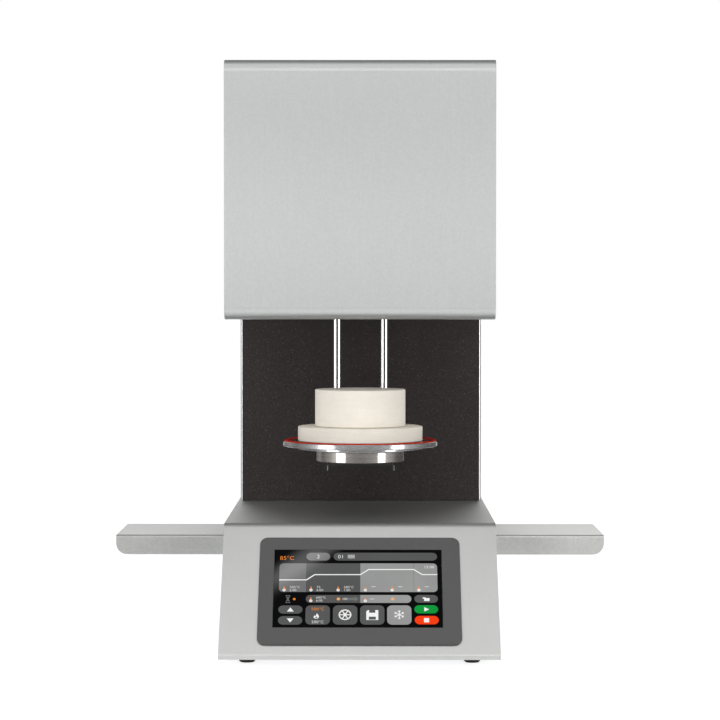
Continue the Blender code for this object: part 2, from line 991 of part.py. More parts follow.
def make_fuses():
    """Two screw-in fuse holders with a slotted cap."""
    for side_name, x in fuse_places():
        profile = [
            (0, fuse_length),
            (fuse_radius, fuse_length),
            (fuse_radius, 0),
            (fuse_body_radius, 0),
            (fuse_body_radius, -fuse_body_length),
            (0, -fuse_body_length),
        ]
        fuse = turned(f"fuse_{side_name}", profile, (x, rear_y + seat_gap, connector_z), small_segments, rearward)
        slot = box(
            f"fuse_slot_{side_name}",
            (2 * (fuse_radius + overrun), 2 * fuse_slot, fuse_slot),
            (x, rear_y + seat_gap + fuse_length, connector_z),
        )
        cut(fuse, slot)
        dress(fuse, "black_plastic")


def make_usb_socket():
    """The service socket."""
    flange = box(
        "usb_socket",
        (usb_width + 2 * usb_flange, usb_flange, usb_height + 2 * usb_flange),
        (usb_x, rear_y + seat_gap + usb_flange / 2, connector_z),
    )
    reach = usb_depth + usb_flange / 2
    body = box(
        "usb_body",
        (usb_width, reach, usb_height),
        (usb_x, rear_y + seat_gap + usb_flange / 2 - reach / 2, connector_z),
    )
    join(flange, body)
    cavity = box(
        "usb_cavity",
        (usb_width - 2 * usb_wall, usb_depth - usb_wall + overrun, usb_height - 2 * usb_wall),
        (usb_x, rear_y + seat_gap + usb_flange + overrun - (usb_depth - usb_wall + overrun) / 2, connector_z),
    )
    cut(flange, cavity)
    return dress(flange, "galvanised")


def make_switch():
    """The mains switch: a rim with a sleeve through the wall, and the rocker that tips in it."""
    window = rectangle(switch_window_width, switch_window_height)
    rim_outline = rectangle(
        switch_window_width + 2 * switch_rim, switch_window_height + 2 * switch_rim, radius=connector_corner_radius / 2
    )
    rim = prism(
        "mains_switch_frame",
        [rim_outline],
        switch_rim_thickness,
        (switch_x, rear_y + seat_gap + switch_rim_thickness / 2, connector_z),
        front_view,
    )
    sleeve_length = switch_sleeve_depth + switch_rim_thickness / 2
    sleeve = box(
        "switch_sleeve",
        (
            switch_window_width + 2 * switch_sleeve_wall,
            sleeve_length,
            switch_window_height + 2 * switch_sleeve_wall,
        ),
        (switch_x, rear_y + seat_gap + switch_rim_thickness / 2 - sleeve_length / 2, connector_z),
    )
    join(rim, sleeve)
    hole_length = switch_sleeve_depth + switch_rim_thickness - switch_sleeve_wall + overrun
    hole = prism(
        "switch_hole",
        [window],
        hole_length,
        (switch_x, rear_y + seat_gap + switch_rim_thickness + overrun - hole_length / 2, connector_z),
        front_view,
    )
    cut(rim, hole)
    dress(rim, "black_plastic")

    radius = switch_window_height / 2 - running_gap
    outline = []
    for step in range(bend_steps + 1):
        angle = rocker_foot_angle + (rocker_corner_angle - rocker_foot_angle) * step / bend_steps
        outline.append((radius * math.sin(angle), radius * math.cos(angle)))
    corner_reach = outline[-1][0]
    outline.append((corner_reach - rocker_dip, 0))
    for reach, rise in outline[bend_steps::-1]:
        outline.append((reach, -rise))
    tilt = Matrix.Rotation(rocker_half_angle, 3, "X") @ Euler(side_view).to_matrix()
    rocker = prism(
        "mains_switch_rocker",
        [outline],
        switch_window_width - 2 * running_gap,
        (switch_x, rear_y + seat_gap - rocker_pivot_depth, connector_z),
        tilt.to_euler(),
    )
    return dress(rocker, "black_plastic")


# Column
def make_column_panel():
    """The speckled front of the column, folded back at both sides."""
    half = column_width / 2
    rear = rear_y - sheet - seat_gap
    path = [(half, rear), (half, column_front_y), (-half, column_front_y), (-half, rear)]
    outline = folded(path, [column_bend_radius] * 2, sheet)
    foot = base_top_z + seat_gap
    top = hood_top_z - sheet - seat_gap
    panel = prism("column_panel", [outline], top - foot, (0, 0, (top + foot) / 2))
    hole = cylinder(
        "hose_hole",
        hose_radius + sheet,
        sheet + 2 * overrun,
        (stub_side, column_front_y + sheet + overrun, lid_top + stub_height + hose_rise),
        small_segments,
        (math.pi / 2, 0, 0),
    )
    cut(panel, hole)
    return dress(panel, "speckled_coat")


def make_rear_cover():
    """The rear cover of the column, with groups of ventilation slots."""
    foot = base_top_z + seat_gap
    top = hood_top_z - sheet - seat_gap
    outlines = [rectangle(column_width, top - foot, 0, (top + foot) / 2)]
    side = column_width * vent_side_share
    groups = [(top - vent_top_margin, vent_rows), (foot + rear_vent_low_margin, rear_vent_low_rows)]
    for start, rows in groups:
        for row in range(rows):
            for u in (-side, side):
                v = start + row * vent_slot_pitch
                outlines.append(stadium(vent_slot_width, vent_slot_height, u, v, steps=bend_steps // 3))
    nipple_z = base_top_z + nipple_height
    outlines.append(circle(nipple_shank_radius + seat_gap, stub_side, nipple_z, small_segments))
    cover = prism("rear_cover", outlines, sheet, (0, rear_y - sheet / 2, 0), front_view)
    return dress(cover, "speckled_coat")


def make_nipple():
    """The barbed brass nipple for the vacuum hose, screwed through the rear cover."""
    profile = [
        (nipple_bore_radius, nipple_reach),
        (nipple_root_radius, nipple_reach),
    ]
    barb_start = nipple_flange_height
    barb_pitch = (nipple_reach - barb_start) / (nipple_barbs + 1)
    for index in range(nipple_barbs):
        tip = nipple_reach - barb_pitch * (index + 1)
        profile.append((nipple_barb_radius, tip))
        profile.append((nipple_root_radius, tip - seat_gap))
    shank_foot = -sheet - nipple_shank_length
    profile += [
        (nipple_root_radius, barb_start),
        (nipple_flange_radius, barb_start),
        (nipple_flange_radius, seat_gap),
        (nipple_shank_radius, seat_gap),
        (nipple_shank_radius, shank_foot),
        (nipple_bore_radius, shank_foot),
    ]
    nipple = turned(
        "vacuum_nipple",
        profile,
        (stub_side, rear_y, base_top_z + nipple_height),
        small_segments,
        rearward,
        closed=True,
    )
    return dress(nipple, "brass")


def smooth_route(points, count):
    """Points on a smooth curve through the given points."""
    knots = [Vector(point) for point in points]
    padded = [2 * knots[0] - knots[1], *knots, 2 * knots[-1] - knots[-2]]
    result = []
    for a, b, c, d in zip(padded, padded[1:], padded[2:], padded[3:]):
        for step in range(count):
            t = step / count
            result.append(
                ((2 * b) + (c - a) * t + (2 * a - 5 * b + 4 * c - d) * t**2 + (3 * b - a - 3 * c + d) * t**3) / 2
            )
    result.append(knots[-1])
    return result


def tube(name, points, radius, resolution, location=(0, 0, 0)):
    """A round tube along a chain of points."""
    curve = bpy.data.curves.new(name, "CURVE")
    curve.dimensions = "3D"
    curve.bevel_depth = radius
    curve.bevel_resolution = resolution
    curve.use_fill_caps = True
    spline = curve.splines.new("POLY")
    spline.points.add(len(points) - 1)
    for point, place_of_point in zip(spline.points, points):
        point.co = (*place_of_point, 1)
    item = bpy.data.objects.new(name, curve)
    return place(item, parts, location, (0, 0, 0))


def make_hose():
    """The vacuum hose from the chamber lid, back through the column and down to the nipple."""
    foot_z = lid_top + stub_height + seat_gap
    high_z = lid_top + stub_height + hose_rise
    inside_y = column_front_y + hose_column_inset
    nipple_z = base_top_z + nipple_height
    end_y = rear_y - sheet - nipple_shank_length - seat_gap
    bend = hose_rise / 2
    route = [
        (stub_side, lift_y, foot_z),
        (stub_side, lift_y, foot_z + bend / 4),
        (stub_side, lift_y, foot_z + bend / 2),
        (stub_side, lift_y + bend, high_z),
        (stub_side, lift_y + 2 * bend, high_z),
        (stub_side, column_front_y - bend, high_z),
        (stub_side, column_front_y + bend, high_z),
        (stub_side, inside_y, high_z - bend),
        (stub_side, inside_y, high_z - 2 * bend),
        (stub_side, inside_y, nipple_z + 2 * bend),
        (stub_side, inside_y, nipple_z + bend),
        (stub_side, end_y - bend / 2, nipple_z),
        (stub_side, end_y - bend / 4, nipple_z),
        (stub_side, end_y, nipple_z),
    ]
    hose = tube("vacuum_hose", smooth_route(route, hose_points_per_span), hose_radius, 2)
    return dress(hose, "clear_hose")


# Hood
def make_hood_cover():
    """The hood's folded front, top and bottom, with the round opening for the lift's flange."""
    path = [
        (column_front_y - seat_gap, hood_bottom_z),
        (hood_front_y, hood_bottom_z),
        (hood_front_y, hood_top_z),
        (rear_y, hood_top_z),
    ]
    outline = folded(path, [hood_bend_radius] * 2, sheet)
    cover = prism("hood_cover", [outline], housing_width, (0, 0, 0), side_view)
    opening = cylinder(
        "flange_opening", flange_opening_radius, sheet + 2 * overrun, (0, lift_y, hood_bottom_z - overrun)
    )
    cut(cover, opening)
    for side in (-1, 1):
        rod_hole = cylinder(
            f"hood_rod_hole_{side}",
            rod_opening_radius,
            sheet + 2 * overrun,
            (side * rod_spacing / 2, rod_y, hood_bottom_z - overrun),
            small_segments,
        )
        cut(cover, rod_hole)
    return dress(cover, "satin_sheet")


def make_hood_side(name, side):
    """A flat side of the hood, set between the folded top and bottom, with vent slots."""
    inset = sheet + seat_gap
    low = hood_bottom_z + inset
    high = hood_top_z - inset
    front = hood_front_y + inset
    radius = hood_bend_radius - inset
    outline = rounded([(front, low), (rear_y, low), (rear_y, high), (front, high)], [radius, 0, 0, radius])
    outlines = [outline]
    for index in range(side_vent_count):
        y = rear_y - side_vent_from_rear - index * side_vent_pitch
        z = high - side_vent_from_top - side_vent_length / 2
        outlines.append(stadium(side_vent_length, side_vent_width, y, z, upright=True, steps=bend_steps // 3))
    panel = prism(name, outlines, sheet, (side * (half_width - sheet / 2), 0, 0), side_view)
    return dress(panel, "satin_sheet")


# Chamber
def ring(name, outer, inner, height, foot_z, material):
    """A flat-ended ring round the chamber's axis."""
    profile = [(outer, height), (outer, 0), (inner, 0), (inner, height)]
    item = turned(name, profile, (0, lift_y, foot_z), lining_segments, closed=True)
    return dress(item, material)


def make_seal_plate():
    """The plate that the chamber stands on and that the lift's seal presses against."""
    front = lift_y - can_radius - seal_plate_margin
    rear = column_front_y - seat_gap
    width = housing_width - 2 * (sheet + seat_gap)
    middle_z = seal_plate_z + seal_plate_thickness / 2
    plate = box("seal_plate", (width, rear - front, seal_plate_thickness), (0, (front + rear) / 2, middle_z))
    foot = seal_plate_z - overrun
    height = seal_plate_thickness + 2 * overrun
    cut(plate, cylinder("mouth_hole", mouth_radius, height, (0, lift_y, foot)))
    for side in (-1, 1):
        x = side * rod_spacing / 2
        cut(plate, cylinder(f"plate_rod_hole_{side}", rod_opening_radius, height, (x, rod_y, foot), small_segments))
    return dress(plate, "aluminium")


def lead_heights():
    """The heights of the coil's lower and upper leads."""
    return (muffle_z + coil_from_foot, muffle_z + muffle_height - coil_from_top)


def make_chamber():
    """The fibre lining, the can round it and its lid."""
    ring("mouth_ring", fibre_radius, mouth_radius, mouth_ring_height, chamber_foot_z, "fibre")
    muffle = ring("muffle", fibre_radius, muffle_bore_radius, muffle_height, muffle_z, "fibre")
    can_height = lid_z - seat_gap - chamber_foot_z
    can = ring("chamber_can", can_radius, can_radius - sheet, can_height, chamber_foot_z, "galvanised")
    for name, height in zip(("lower", "upper"), lead_heights()):
        for item, start in ((muffle, coil_radius - wire_radius), (can, fibre_radius)):
            hole = cylinder(
                f"{item.name}_{name}_lead_hole",
                terminal_bore_radius,
                can_radius + overrun - start,
                (start, lift_y, height),
                small_segments,
                sideward,
            )
            cut(item, hole)
    bore = probe_radius + seat_gap
    ring("ceiling", fibre_radius, bore, ceiling_height, ceiling_z, "fibre")
    lid = ring("chamber_lid", can_radius, bore, sheet, lid_z, "galvanised")
    stub = cylinder("hose_stub", stub_radius, stub_height + sheet / 2, (stub_side, lift_y, lid_z + sheet / 2), small_segments)
    join(lid, stub)


def coil_path():
    """The heating wire: in through the wall, round the bore and out again."""
    low, high = lead_heights()
    count = coil_loops * loop_points
    points = []
    for index in range(count + 1):
        angle = math.tau * index / loop_points
        height = low + (high - low) * index / count
        points.append((coil_radius * math.cos(angle), coil_radius * math.sin(angle), height))
    end = can_radius + lead_length
    return [(end, 0, low), *points, (end, 0, high)]


def least_coil_gap(points):
    """The least gap between two turns of the wire."""
    low, high = lead_heights()
    turn_rise = (high - low) / coil_loops
    gap = turn_rise - 2 * wire_radius
    winding = points[1:-1]
    for start in range(0, len(winding) - loop_points, loop_points // 2):
        a = Vector(winding[start])
        for other in winding[start + loop_points // 2 :]:
            gap = min(gap, (Vector(other) - a).length - 2 * wire_radius)
    return gap


def make_coil():
    """The heating coil with its leads and their porcelain bushings."""
    points = coil_path()
    coil = tube("heating_coil", points, wire_radius, 1, (0, lift_y, 0))
    dress(coil, "heating_wire")
    print(f"least gap between turns of the heating coil: {least_coil_gap(points) * 1000:.2f} mm")
    for name, height in zip(("lower", "upper"), lead_heights()):
        profile = [
            (terminal_nut_radius, terminal_length),
            (terminal_radius, terminal_shoulder),
            (terminal_radius, 0),
            (terminal_bore_radius, 0),
            (terminal_bore_radius, terminal_length),
        ]
        bushing = turned(
            f"terminal_{name}",
            profile,
            (can_radius + seat_gap, lift_y, height),
            small_segments,
            sideward,
            closed=True,
        )
        dress(bushing, "porcelain")


def make_probe():
    """The thermocouple, down the middle of the ceiling."""
    tip = ceiling_z - probe_reach
    head = lid_top + seat_gap - tip
    profile = [
        (0, head + probe_head_height),
        (probe_head_radius, head + probe_head_height),
        (probe_head_radius, head),
        (probe_radius, head),
        (probe_radius, 0),
        (0, 0),
    ]
    probe = turned("thermocouple", profile, (0, lift_y, tip), small_segments)
    return dress(probe, "porcelain")


# Lift
def lift_piece(item, carrier):
    """Hang a piece of the lift on the empty at the lift's axis."""
    item.parent = carrier
    item.matrix_parent_inverse = Matrix.Translation(carrier.location).inverted()
    return item


def make_lift():
    """The lift: arm, collar, flange, seal, fibre tiers, rods and crosshead."""
    carrier = bpy.data.objects.new("lift_axis", None)
    place(carrier, parts, (0, lift_y, flange_top_z), (0, 0, 0))
    pieces = [
        make_arm(),
        make_rod_clamp(),
        make_collar(),
        make_flange(),
        make_seal(),
        make_tier("lower_insulation", tier_radius, tier_height, tier_z),
        make_tier("firing_socket", socket_radius, socket_height, socket_z),
        make_crosshead(),
        make_spindle_nut(),
        *make_rods(),
    ]
    for piece in pieces:
        lift_piece(piece, carrier)


def make_arm():
    """The black arm, a channel that is open below and at its front."""
    half = arm_width / 2
    path = [(-half, arm_bottom_z), (-half, arm_top_z), (half, arm_top_z), (half, arm_bottom_z)]
    outline = folded(path, [arm_bend_radius] * 2, arm_sheet)
    front = lift_y - arm_front_reach
    rear = rod_y + clamp_block_half_depth
    arm = prism("lift_arm", [outline], rear - front, (0, (front + rear) / 2, 0), front_view)
    for side in (-1, 1):
        hole = cylinder(
            f"arm_rod_hole_{side}",
            rod_radius + seat_gap,
            arm_sheet + 2 * overrun,
            (side * rod_spacing / 2, rod_y, arm_top_z - arm_sheet - overrun),
            small_segments,
        )
        cut(arm, hole)
    return dress(arm, "black_coat")


def make_rod_clamp():
    """The block under the arm that both rods are clamped in."""
    top = arm_top_z - arm_sheet - seat_gap
    width = arm_width - 2 * (arm_sheet + seat_gap)
    block = box(
        "rod_clamp",
        (width, 2 * clamp_block_half_depth, clamp_block_height),
        (0, rod_y, top - clamp_block_height / 2),
    )
    for side in (-1, 1):
        hole = cylinder(
            f"clamp_rod_hole_{side}",
            rod_radius + seat_gap,
            clamp_block_height + 2 * overrun,
            (side * rod_spacing / 2, rod_y, top - clamp_block_height - overrun),
            small_segments,
        )
        cut(block, hole)
    return dress(block, "black_coat")


def make_collar():
    """The turned ring between the arm and the flange."""
    inner = collar_radius - collar_wall
    profile = [
        (collar_radius - collar_chamfer, collar_height),
        (collar_radius, collar_height - collar_chamfer),
        (collar_radius, collar_chamfer),
        (collar_radius - collar_chamfer, 0),
        (inner, 0),
        (inner, collar_height),
    ]
    collar = turned("lift_collar", profile, (0, lift_y, collar_z), closed=True)
    return dress(collar, "aluminium")


def make_flange():
    """The turned flange: a groove for the seal, a straight rim and a bowl below it."""
    top = flange_bowl_height + flange_rim_height
    rim_foot = flange_bowl_height
    groove_half = seal_section_radius + seat_gap
    groove_floor = top + seal_proud - 2 * seal_section_radius - seat_gap
    profile = [
        (0, top),
        (seal_radius - groove_half, top),
        (seal_radius - groove_half, groove_floor),
        (seal_radius + groove_half, groove_floor),
        (seal_radius + groove_half, top),
        (flange_radius - flange_chamfer, top),
        (flange_radius, top - flange_chamfer),
        (flange_radius, rim_foot + flange_chamfer),
        (flange_radius - flange_chamfer, rim_foot),
        (flange_bowl_radius, rim_foot),
        (flange_bowl_radius, rim_foot - flange_bowl_wall),
        (flange_foot_radius, 0),
        (0, 0),
    ]
    flange = turned("lift_flange", profile, (0, lift_y, flange_z))
    return dress(flange, "aluminium")


def make_seal():
    """The silicone ring in the groove of the flange."""
    bpy.ops.mesh.primitive_torus_add(
        major_radius=seal_radius,
        minor_radius=seal_section_radius,
        major_segments=round_segments,
        minor_segments=small_segments // 2,
        location=(0, lift_y, seal_z),
    )
    seal = bpy.context.active_object
    seal.name = "lift_seal"
    seal.data.name = "lift_seal"
    for collection in list(seal.users_collection):
        collection.objects.unlink(seal)
    parts.objects.link(seal)
    return dress(seal, "silicone")


def make_tier(name, radius, height, foot_z):
    """A fibre disc with a broken edge."""
    profile = [
        (0, height),
        (radius - ceramic_chamfer, height),
        (radius, height - ceramic_chamfer),
        (radius, ceramic_chamfer),
        (radius - ceramic_chamfer, 0),
        (0, 0),
    ]
    return dress(turned(name, profile, (0, lift_y, foot_z)), "fibre")


def make_rods():
    """The two guide rods, from the clamp block up to the crosshead."""
    foot = arm_top_z - arm_sheet - seat_gap - clamp_block_height
    height = crosshead_top - foot
    profile = [
        (0, height),
        (rod_radius - rod_chamfer, height),
        (rod_radius, height - rod_chamfer),
        (rod_radius, rod_chamfer),
        (rod_radius - rod_chamfer, 0),
        (0, 0),
    ]
    rods = []
    for name, side in (("left", -1), ("right", 1)):
        rod = turned(f"guide_rod_{name}", profile, (side * rod_spacing / 2, rod_y, foot), rod_segments)
        rods.append(dress(rod, "chrome"))
    return rods


def make_crosshead():
    """The bar that joins the tops of the rods and carries the nut."""
    width = rod_spacing + 2 * (rod_radius + guide_block_side_wall / 2)
    bar = box(
        "crosshead",
        (width, 2 * clamp_block_half_depth, crosshead_height),
        (0, rod_y, crosshead_z + crosshead_height / 2),
    )
    height = crosshead_height + 2 * overrun
    foot = crosshead_z - overrun
    for side in (-1, 1):
        x = side * rod_spacing / 2
        hole = cylinder(f"crosshead_rod_hole_{side}", rod_radius + seat_gap, height, (x, rod_y, foot), small_segments)
        cut(bar, hole)
    cut(bar, cylinder("nut_hole", nut_radius + seat_gap, height, (0, rod_y, foot), small_segments))
    return dress(bar, "aluminium")


def make_spindle_nut():
    """The flanged bronze nut on the crosshead."""
    bore = spindle_radius + running_gap
    low = seat_gap - crosshead_height
    profile = [
        (nut_flange_radius, seat_gap + nut_flange_height),
        (nut_flange_radius, seat_gap),
        (nut_radius, seat_gap),
        (nut_radius, low),
        (bore, low),
        (bore, seat_gap + nut_flange_height),
    ]
    nut = turned("spindle_nut", profile, (0, rod_y, crosshead_top), small_segments, closed=True)
    return dress(nut, "bronze")


# Drive
def make_guide_block():
    """The fixed block that guides the rods, with its two bushes."""
    width = rod_spacing + 2 * (rod_radius + guide_block_side_wall)
    block = box(
        "guide_block",
        (width, 2 * guide_block_half_depth, guide_block_height),
        (0, rod_y, guide_z + guide_block_height / 2),
    )
    bush_radius = rod_radius + running_gap + bush_wall
    for side in (-1, 1):
        hole = cylinder(
            f"bush_hole_{side}",
            bush_radius + seat_gap,
            guide_block_height + 2 * overrun,
            (side * rod_spacing / 2, rod_y, guide_z - overrun),
            small_segments,
        )
        cut(block, hole)
    seat = cylinder(
        "spindle_seat",
        spindle_radius + running_gap,
        spindle_seat_depth + overrun,
        (0, rod_y, guide_top - spindle_seat_depth),
        small_segments,
    )
    cut(block, seat)
    dress(block, "aluminium")
    bore = rod_radius + running_gap
    flange_foot = guide_block_height + seat_gap
    profile = [
        (bush_radius + bush_flange, guide_block_height + bush_flange_height),
        (bush_radius + bush_flange, flange_foot),
        (bush_radius, flange_foot),
        (bush_radius, 0),
        (bore, 0),
        (bore, guide_block_height + bush_flange_height),
    ]
    for name, side in (("left", -1), ("right", 1)):
        x = side * rod_spacing / 2
        dress(turned(f"bush_{name}", profile, (x, rod_y, guide_z), small_segments, closed=True), "bronze")


def make_drive_frame():
    """The folded frame that carries the motor above the rods."""
    rear = rod_y + guide_block_half_depth + drive_gap + drive_plate
    face = rear - drive_plate
    top = drive_top_z + drive_plate
    front = rod_y - motor_side / 2
    foot_end = rear + drive_foot
    inner_radius = drive_bend_radius - drive_plate
    outline = rounded(
        [
            (foot_end, guide_z),
            (face, guide_z),
            (face, drive_top_z),
            (front, drive_top_z),
            (front, top),
            (rear, top),
            (rear, guide_z + drive_plate),
            (foot_end, guide_z + drive_plate),
        ],
        [0, drive_bend_radius, inner_radius, 0, 0, drive_bend_radius, inner_radius, 0],
        bend_steps // 2,
    )
    frame = prism("drive_frame", [outline], 2 * drive_half_width, (0, 0, 0), side_view)
    hole = cylinder(
        "spindle_hole",
        spindle_radius + sheet,
        drive_plate + 2 * overrun,
        (0, rod_y, drive_top_z - overrun),
        small_segments,
    )
    cut(frame, hole)
    return dress(frame, "galvanised")


def make_motor():
    """The lift motor, whose shaft is the spindle."""
    motor = box("lift_motor", (motor_side, motor_side, motor_height), (0, rod_y, motor_z + motor_height / 2))
    bevel(motor, motor_bevel)
    shaft_hole = cylinder(
        "shaft_hole",
        spindle_radius + running_gap,
        motor_shaft_depth + overrun,
        (0, rod_y, motor_z - overrun),
        small_segments,
    )
    cut(motor, shaft_hole)
    return dress(motor, "black_coat")


def make_spindle():
    """The spindle, from its seat in the guide block up into the motor."""
    foot = guide_top - spindle_seat_depth + seat_gap
    top = motor_z + motor_shaft_depth - seat_gap
    profile = [
        (0, top - foot),
        (spindle_radius, top - foot),
        (spindle_radius, 0),
        (0, 0),
    ]
    spindle = turned("spindle", profile, (0, rod_y, foot), small_segments)
    return dress(spindle, "chrome")


# The whole furnace
make_base_housing()
make_base_plate()
make_feet()
make_display()
make_power_parts()
make_shelf("left_shelf", -1)
make_shelf("right_shelf", 1)
make_inlet()
make_outlet()
make_fuses()
make_usb_socket()
make_switch()
make_column_panel()
make_rear_cover()
make_nipple()
make_hose()
make_hood_cover()
make_hood_side("hood_side_left", -1)
make_hood_side("hood_side_right", 1)
make_seal_plate()
make_chamber()
make_coil()
make_probe()
make_guide_block()
make_drive_frame()
make_motor()
make_spindle()
make_lift()
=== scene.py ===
"""Dental firing furnace: looks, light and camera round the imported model."""
import math

import bmesh
import bpy
from mathutils import Matrix, Vector


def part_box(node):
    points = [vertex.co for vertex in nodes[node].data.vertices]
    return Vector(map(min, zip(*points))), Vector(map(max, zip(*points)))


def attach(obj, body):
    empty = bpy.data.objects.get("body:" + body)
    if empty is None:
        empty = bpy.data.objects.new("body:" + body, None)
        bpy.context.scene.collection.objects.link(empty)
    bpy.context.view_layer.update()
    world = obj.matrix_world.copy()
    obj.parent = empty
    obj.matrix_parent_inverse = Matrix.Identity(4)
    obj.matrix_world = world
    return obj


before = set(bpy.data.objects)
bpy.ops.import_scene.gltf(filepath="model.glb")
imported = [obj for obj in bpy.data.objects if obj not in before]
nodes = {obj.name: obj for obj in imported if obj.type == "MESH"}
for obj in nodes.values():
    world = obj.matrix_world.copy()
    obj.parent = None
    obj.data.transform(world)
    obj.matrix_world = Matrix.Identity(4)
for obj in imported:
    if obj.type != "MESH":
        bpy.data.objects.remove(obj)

scene = bpy.context.scene
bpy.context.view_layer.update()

# Most values of a noise texture lie between these
noise_low, noise_high = 0.3, 0.7

# The turned parts of the lift have an upright axis at x = 0 and this y
lift_axis_y = -0.03


# Node trees
def connect(tree, socket, value):
    """Link a socket to another one, or set its value; a colour is given without its alpha."""
    if isinstance(value, bpy.types.NodeSocket):
        tree.links.new(value, socket)
    elif socket.type == "RGBA":
        socket.default_value = (*value, 1)
    else:
        socket.default_value = value


def add(tree, kind, inputs=None, **settings):
    """One node with its settings made and its inputs set or linked."""
    node = tree.nodes.new(kind if "Node" in kind else "ShaderNode" + kind)
    for key, value in settings.items():
        setattr(node, key, value)
    for key, value in (inputs or {}).items():
        connect(tree, node.inputs[key], value)
    return node


def place_of(tree):
    """The point in the object's own frame, in metres."""
    return add(tree, "TexCoord").outputs["Object"]


def split(tree, vector):
    """The x, y and z of a vector."""
    return add(tree, "SeparateXYZ", {"Vector": vector}).outputs


def joined(tree, x, y, z):
    """A vector from its x, y and z."""
    return add(tree, "CombineXYZ", {"X": x, "Y": y, "Z": z}).outputs[0]


def stretched(tree, vector, scale):
    """The vector with each axis scaled."""
    return add(tree, "Mapping", {"Vector": vector, "Scale": scale}).outputs["Vector"]


def noise(tree, vector, scale, detail=2.0, roughness=0.5):
    """A noise texture, with its scale in cells a metre."""
    inputs = {"Vector": vector, "Scale": scale, "Detail": detail, "Roughness": roughness}
    return add(tree, "TexNoise", inputs).outputs["Fac"]


def spread(tree, value, low, high, to_low=0.0, to_high=1.0, curve="LINEAR"):
    """A range of values mapped to another range and clamped there."""
    inputs = {"Value": value, "From Min": low, "From Max": high, "To Min": to_low, "To Max": to_high}
    return add(tree, "MapRange", inputs, interpolation_type=curve).outputs["Result"]


def swing(tree, value, reach, middle=0.0):
    """A noise turned into a level that swings by its reach each way about the middle."""
    return spread(tree, value, noise_low, noise_high, middle - reach, middle + reach)


def maths(tree, operation, a, b=0.0):
    """One step of arithmetic."""
    return add(tree, "Math", {0: a, 1: b}, operation=operation).outputs[0]


def total(tree, first, *others):
    """The sum of the values."""
    for value in others:
        first = maths(tree, "ADD", first, value)
    return first


def weighted(tree, *parts):
    """The sum of the values, each times its share."""
    return total(tree, *[maths(tree, "MULTIPLY", value, share) for value, share in parts])


def blend(tree, fac, a, b, kind="MIX"):
    """Colour a to colour b."""
    return add(tree, "Mix", {0: fac, 6: a, 7: b}, data_type="RGBA", blend_type=kind).outputs[2]


def bump(tree, height, distance, strength):
    """A normal tilted by a height."""
    inputs = {"Height": height, "Distance": distance, "Strength": strength}
    return add(tree, "Bump", inputs).outputs["Normal"]


def wire(tree, shader, **values):
    """Set or link a shader's sockets by name, with _ for a space."""
    for key, value in values.items():
        connect(tree, shader.inputs[key.replace("_", " ")], value)


def new_material(name, **values):
    """A material with its Principled shader's sockets set by name."""
    material = bpy.data.materials.new(name)
    material.use_nodes = True
    tree = material.node_tree
    shader = tree.nodes["Principled BSDF"]
    wire(tree, shader, **values)
    return material, tree, shader


def shades(colour, down, up):
    """A darker and a lighter shade of a colour."""
    return tuple(c * (1 - down) for c in colour), tuple(min(c * (1 + up), 1) for c in colour)


# Materials
def satin_metal(name, colour, roughness=0.54, grain=1.0, uneven=0.84):
    """Satin sheet metal with an upright grain, which spreads highlights sideways."""
    material, tree, shader = new_material(name, Metallic=0.96, Anisotropic=uneven)
    where = place_of(tree)
    fine = noise(tree, where, scale=2600, detail=3, roughness=0.6)
    cloud = noise(tree, where, scale=18, detail=3, roughness=0.55)
    speck = noise(tree, where, scale=540, detail=2, roughness=0.5)
    upright = stretched(tree, where, (1.0, 0.025, 0.025))
    lines = noise(tree, upright, scale=1100, detail=3, roughness=0.6)
    tone = total(
        tree,
        swing(tree, fine, 0.035 * grain),
        swing(tree, cloud, 0.006),
        spread(tree, speck, 0.35, 0.65, -0.042 * grain, 0.042 * grain),
        swing(tree, lines, 0.018 * grain),
    )
    contrast = 5
    level = maths(tree, "ADD", maths(tree, "MULTIPLY", tone, contrast), 0.5)
    wire(
        tree,
        shader,
        Tangent=joined(tree, 1.0, 0.02, 0.0),
        Base_Color=blend(tree, level, *shades(colour, down=0.08, up=0.08)),
        Roughness=total(tree, swing(tree, cloud, 0.01, middle=roughness), swing(tree, speck, 0.03)),
        Normal=bump(tree, fine, distance=0.00003 * grain, strength=0.5),
    )
    return material


def plain(name, colour, roughness, metallic=0.0, scale=800, amount=0.12, depth=0.00002, **values):
    """A general material with fine mottling, roughness change and bump."""
    material, tree, shader = new_material(name, Metallic=metallic, **values)
    where = place_of(tree)
    cloud_size = 25
    fine = noise(tree, where, scale, detail=3, roughness=0.6)
    cloud = noise(tree, where, scale / cloud_size, detail=2, roughness=0.5)
    mix = weighted(tree, (fine, 0.6), (cloud, 0.4))
    reach = 0.06
    smoothest, roughest = max(roughness - reach, 0.02), min(roughness + reach, 1)
    wire(
        tree,
        shader,
        Base_Color=blend(tree, spread(tree, mix, noise_low, noise_high), *shades(colour, amount, amount)),
        Roughness=spread(tree, mix, noise_low, noise_high, smoothest, roughest),
        Normal=bump(tree, fine, distance=depth, strength=0.6),
    )
    return material


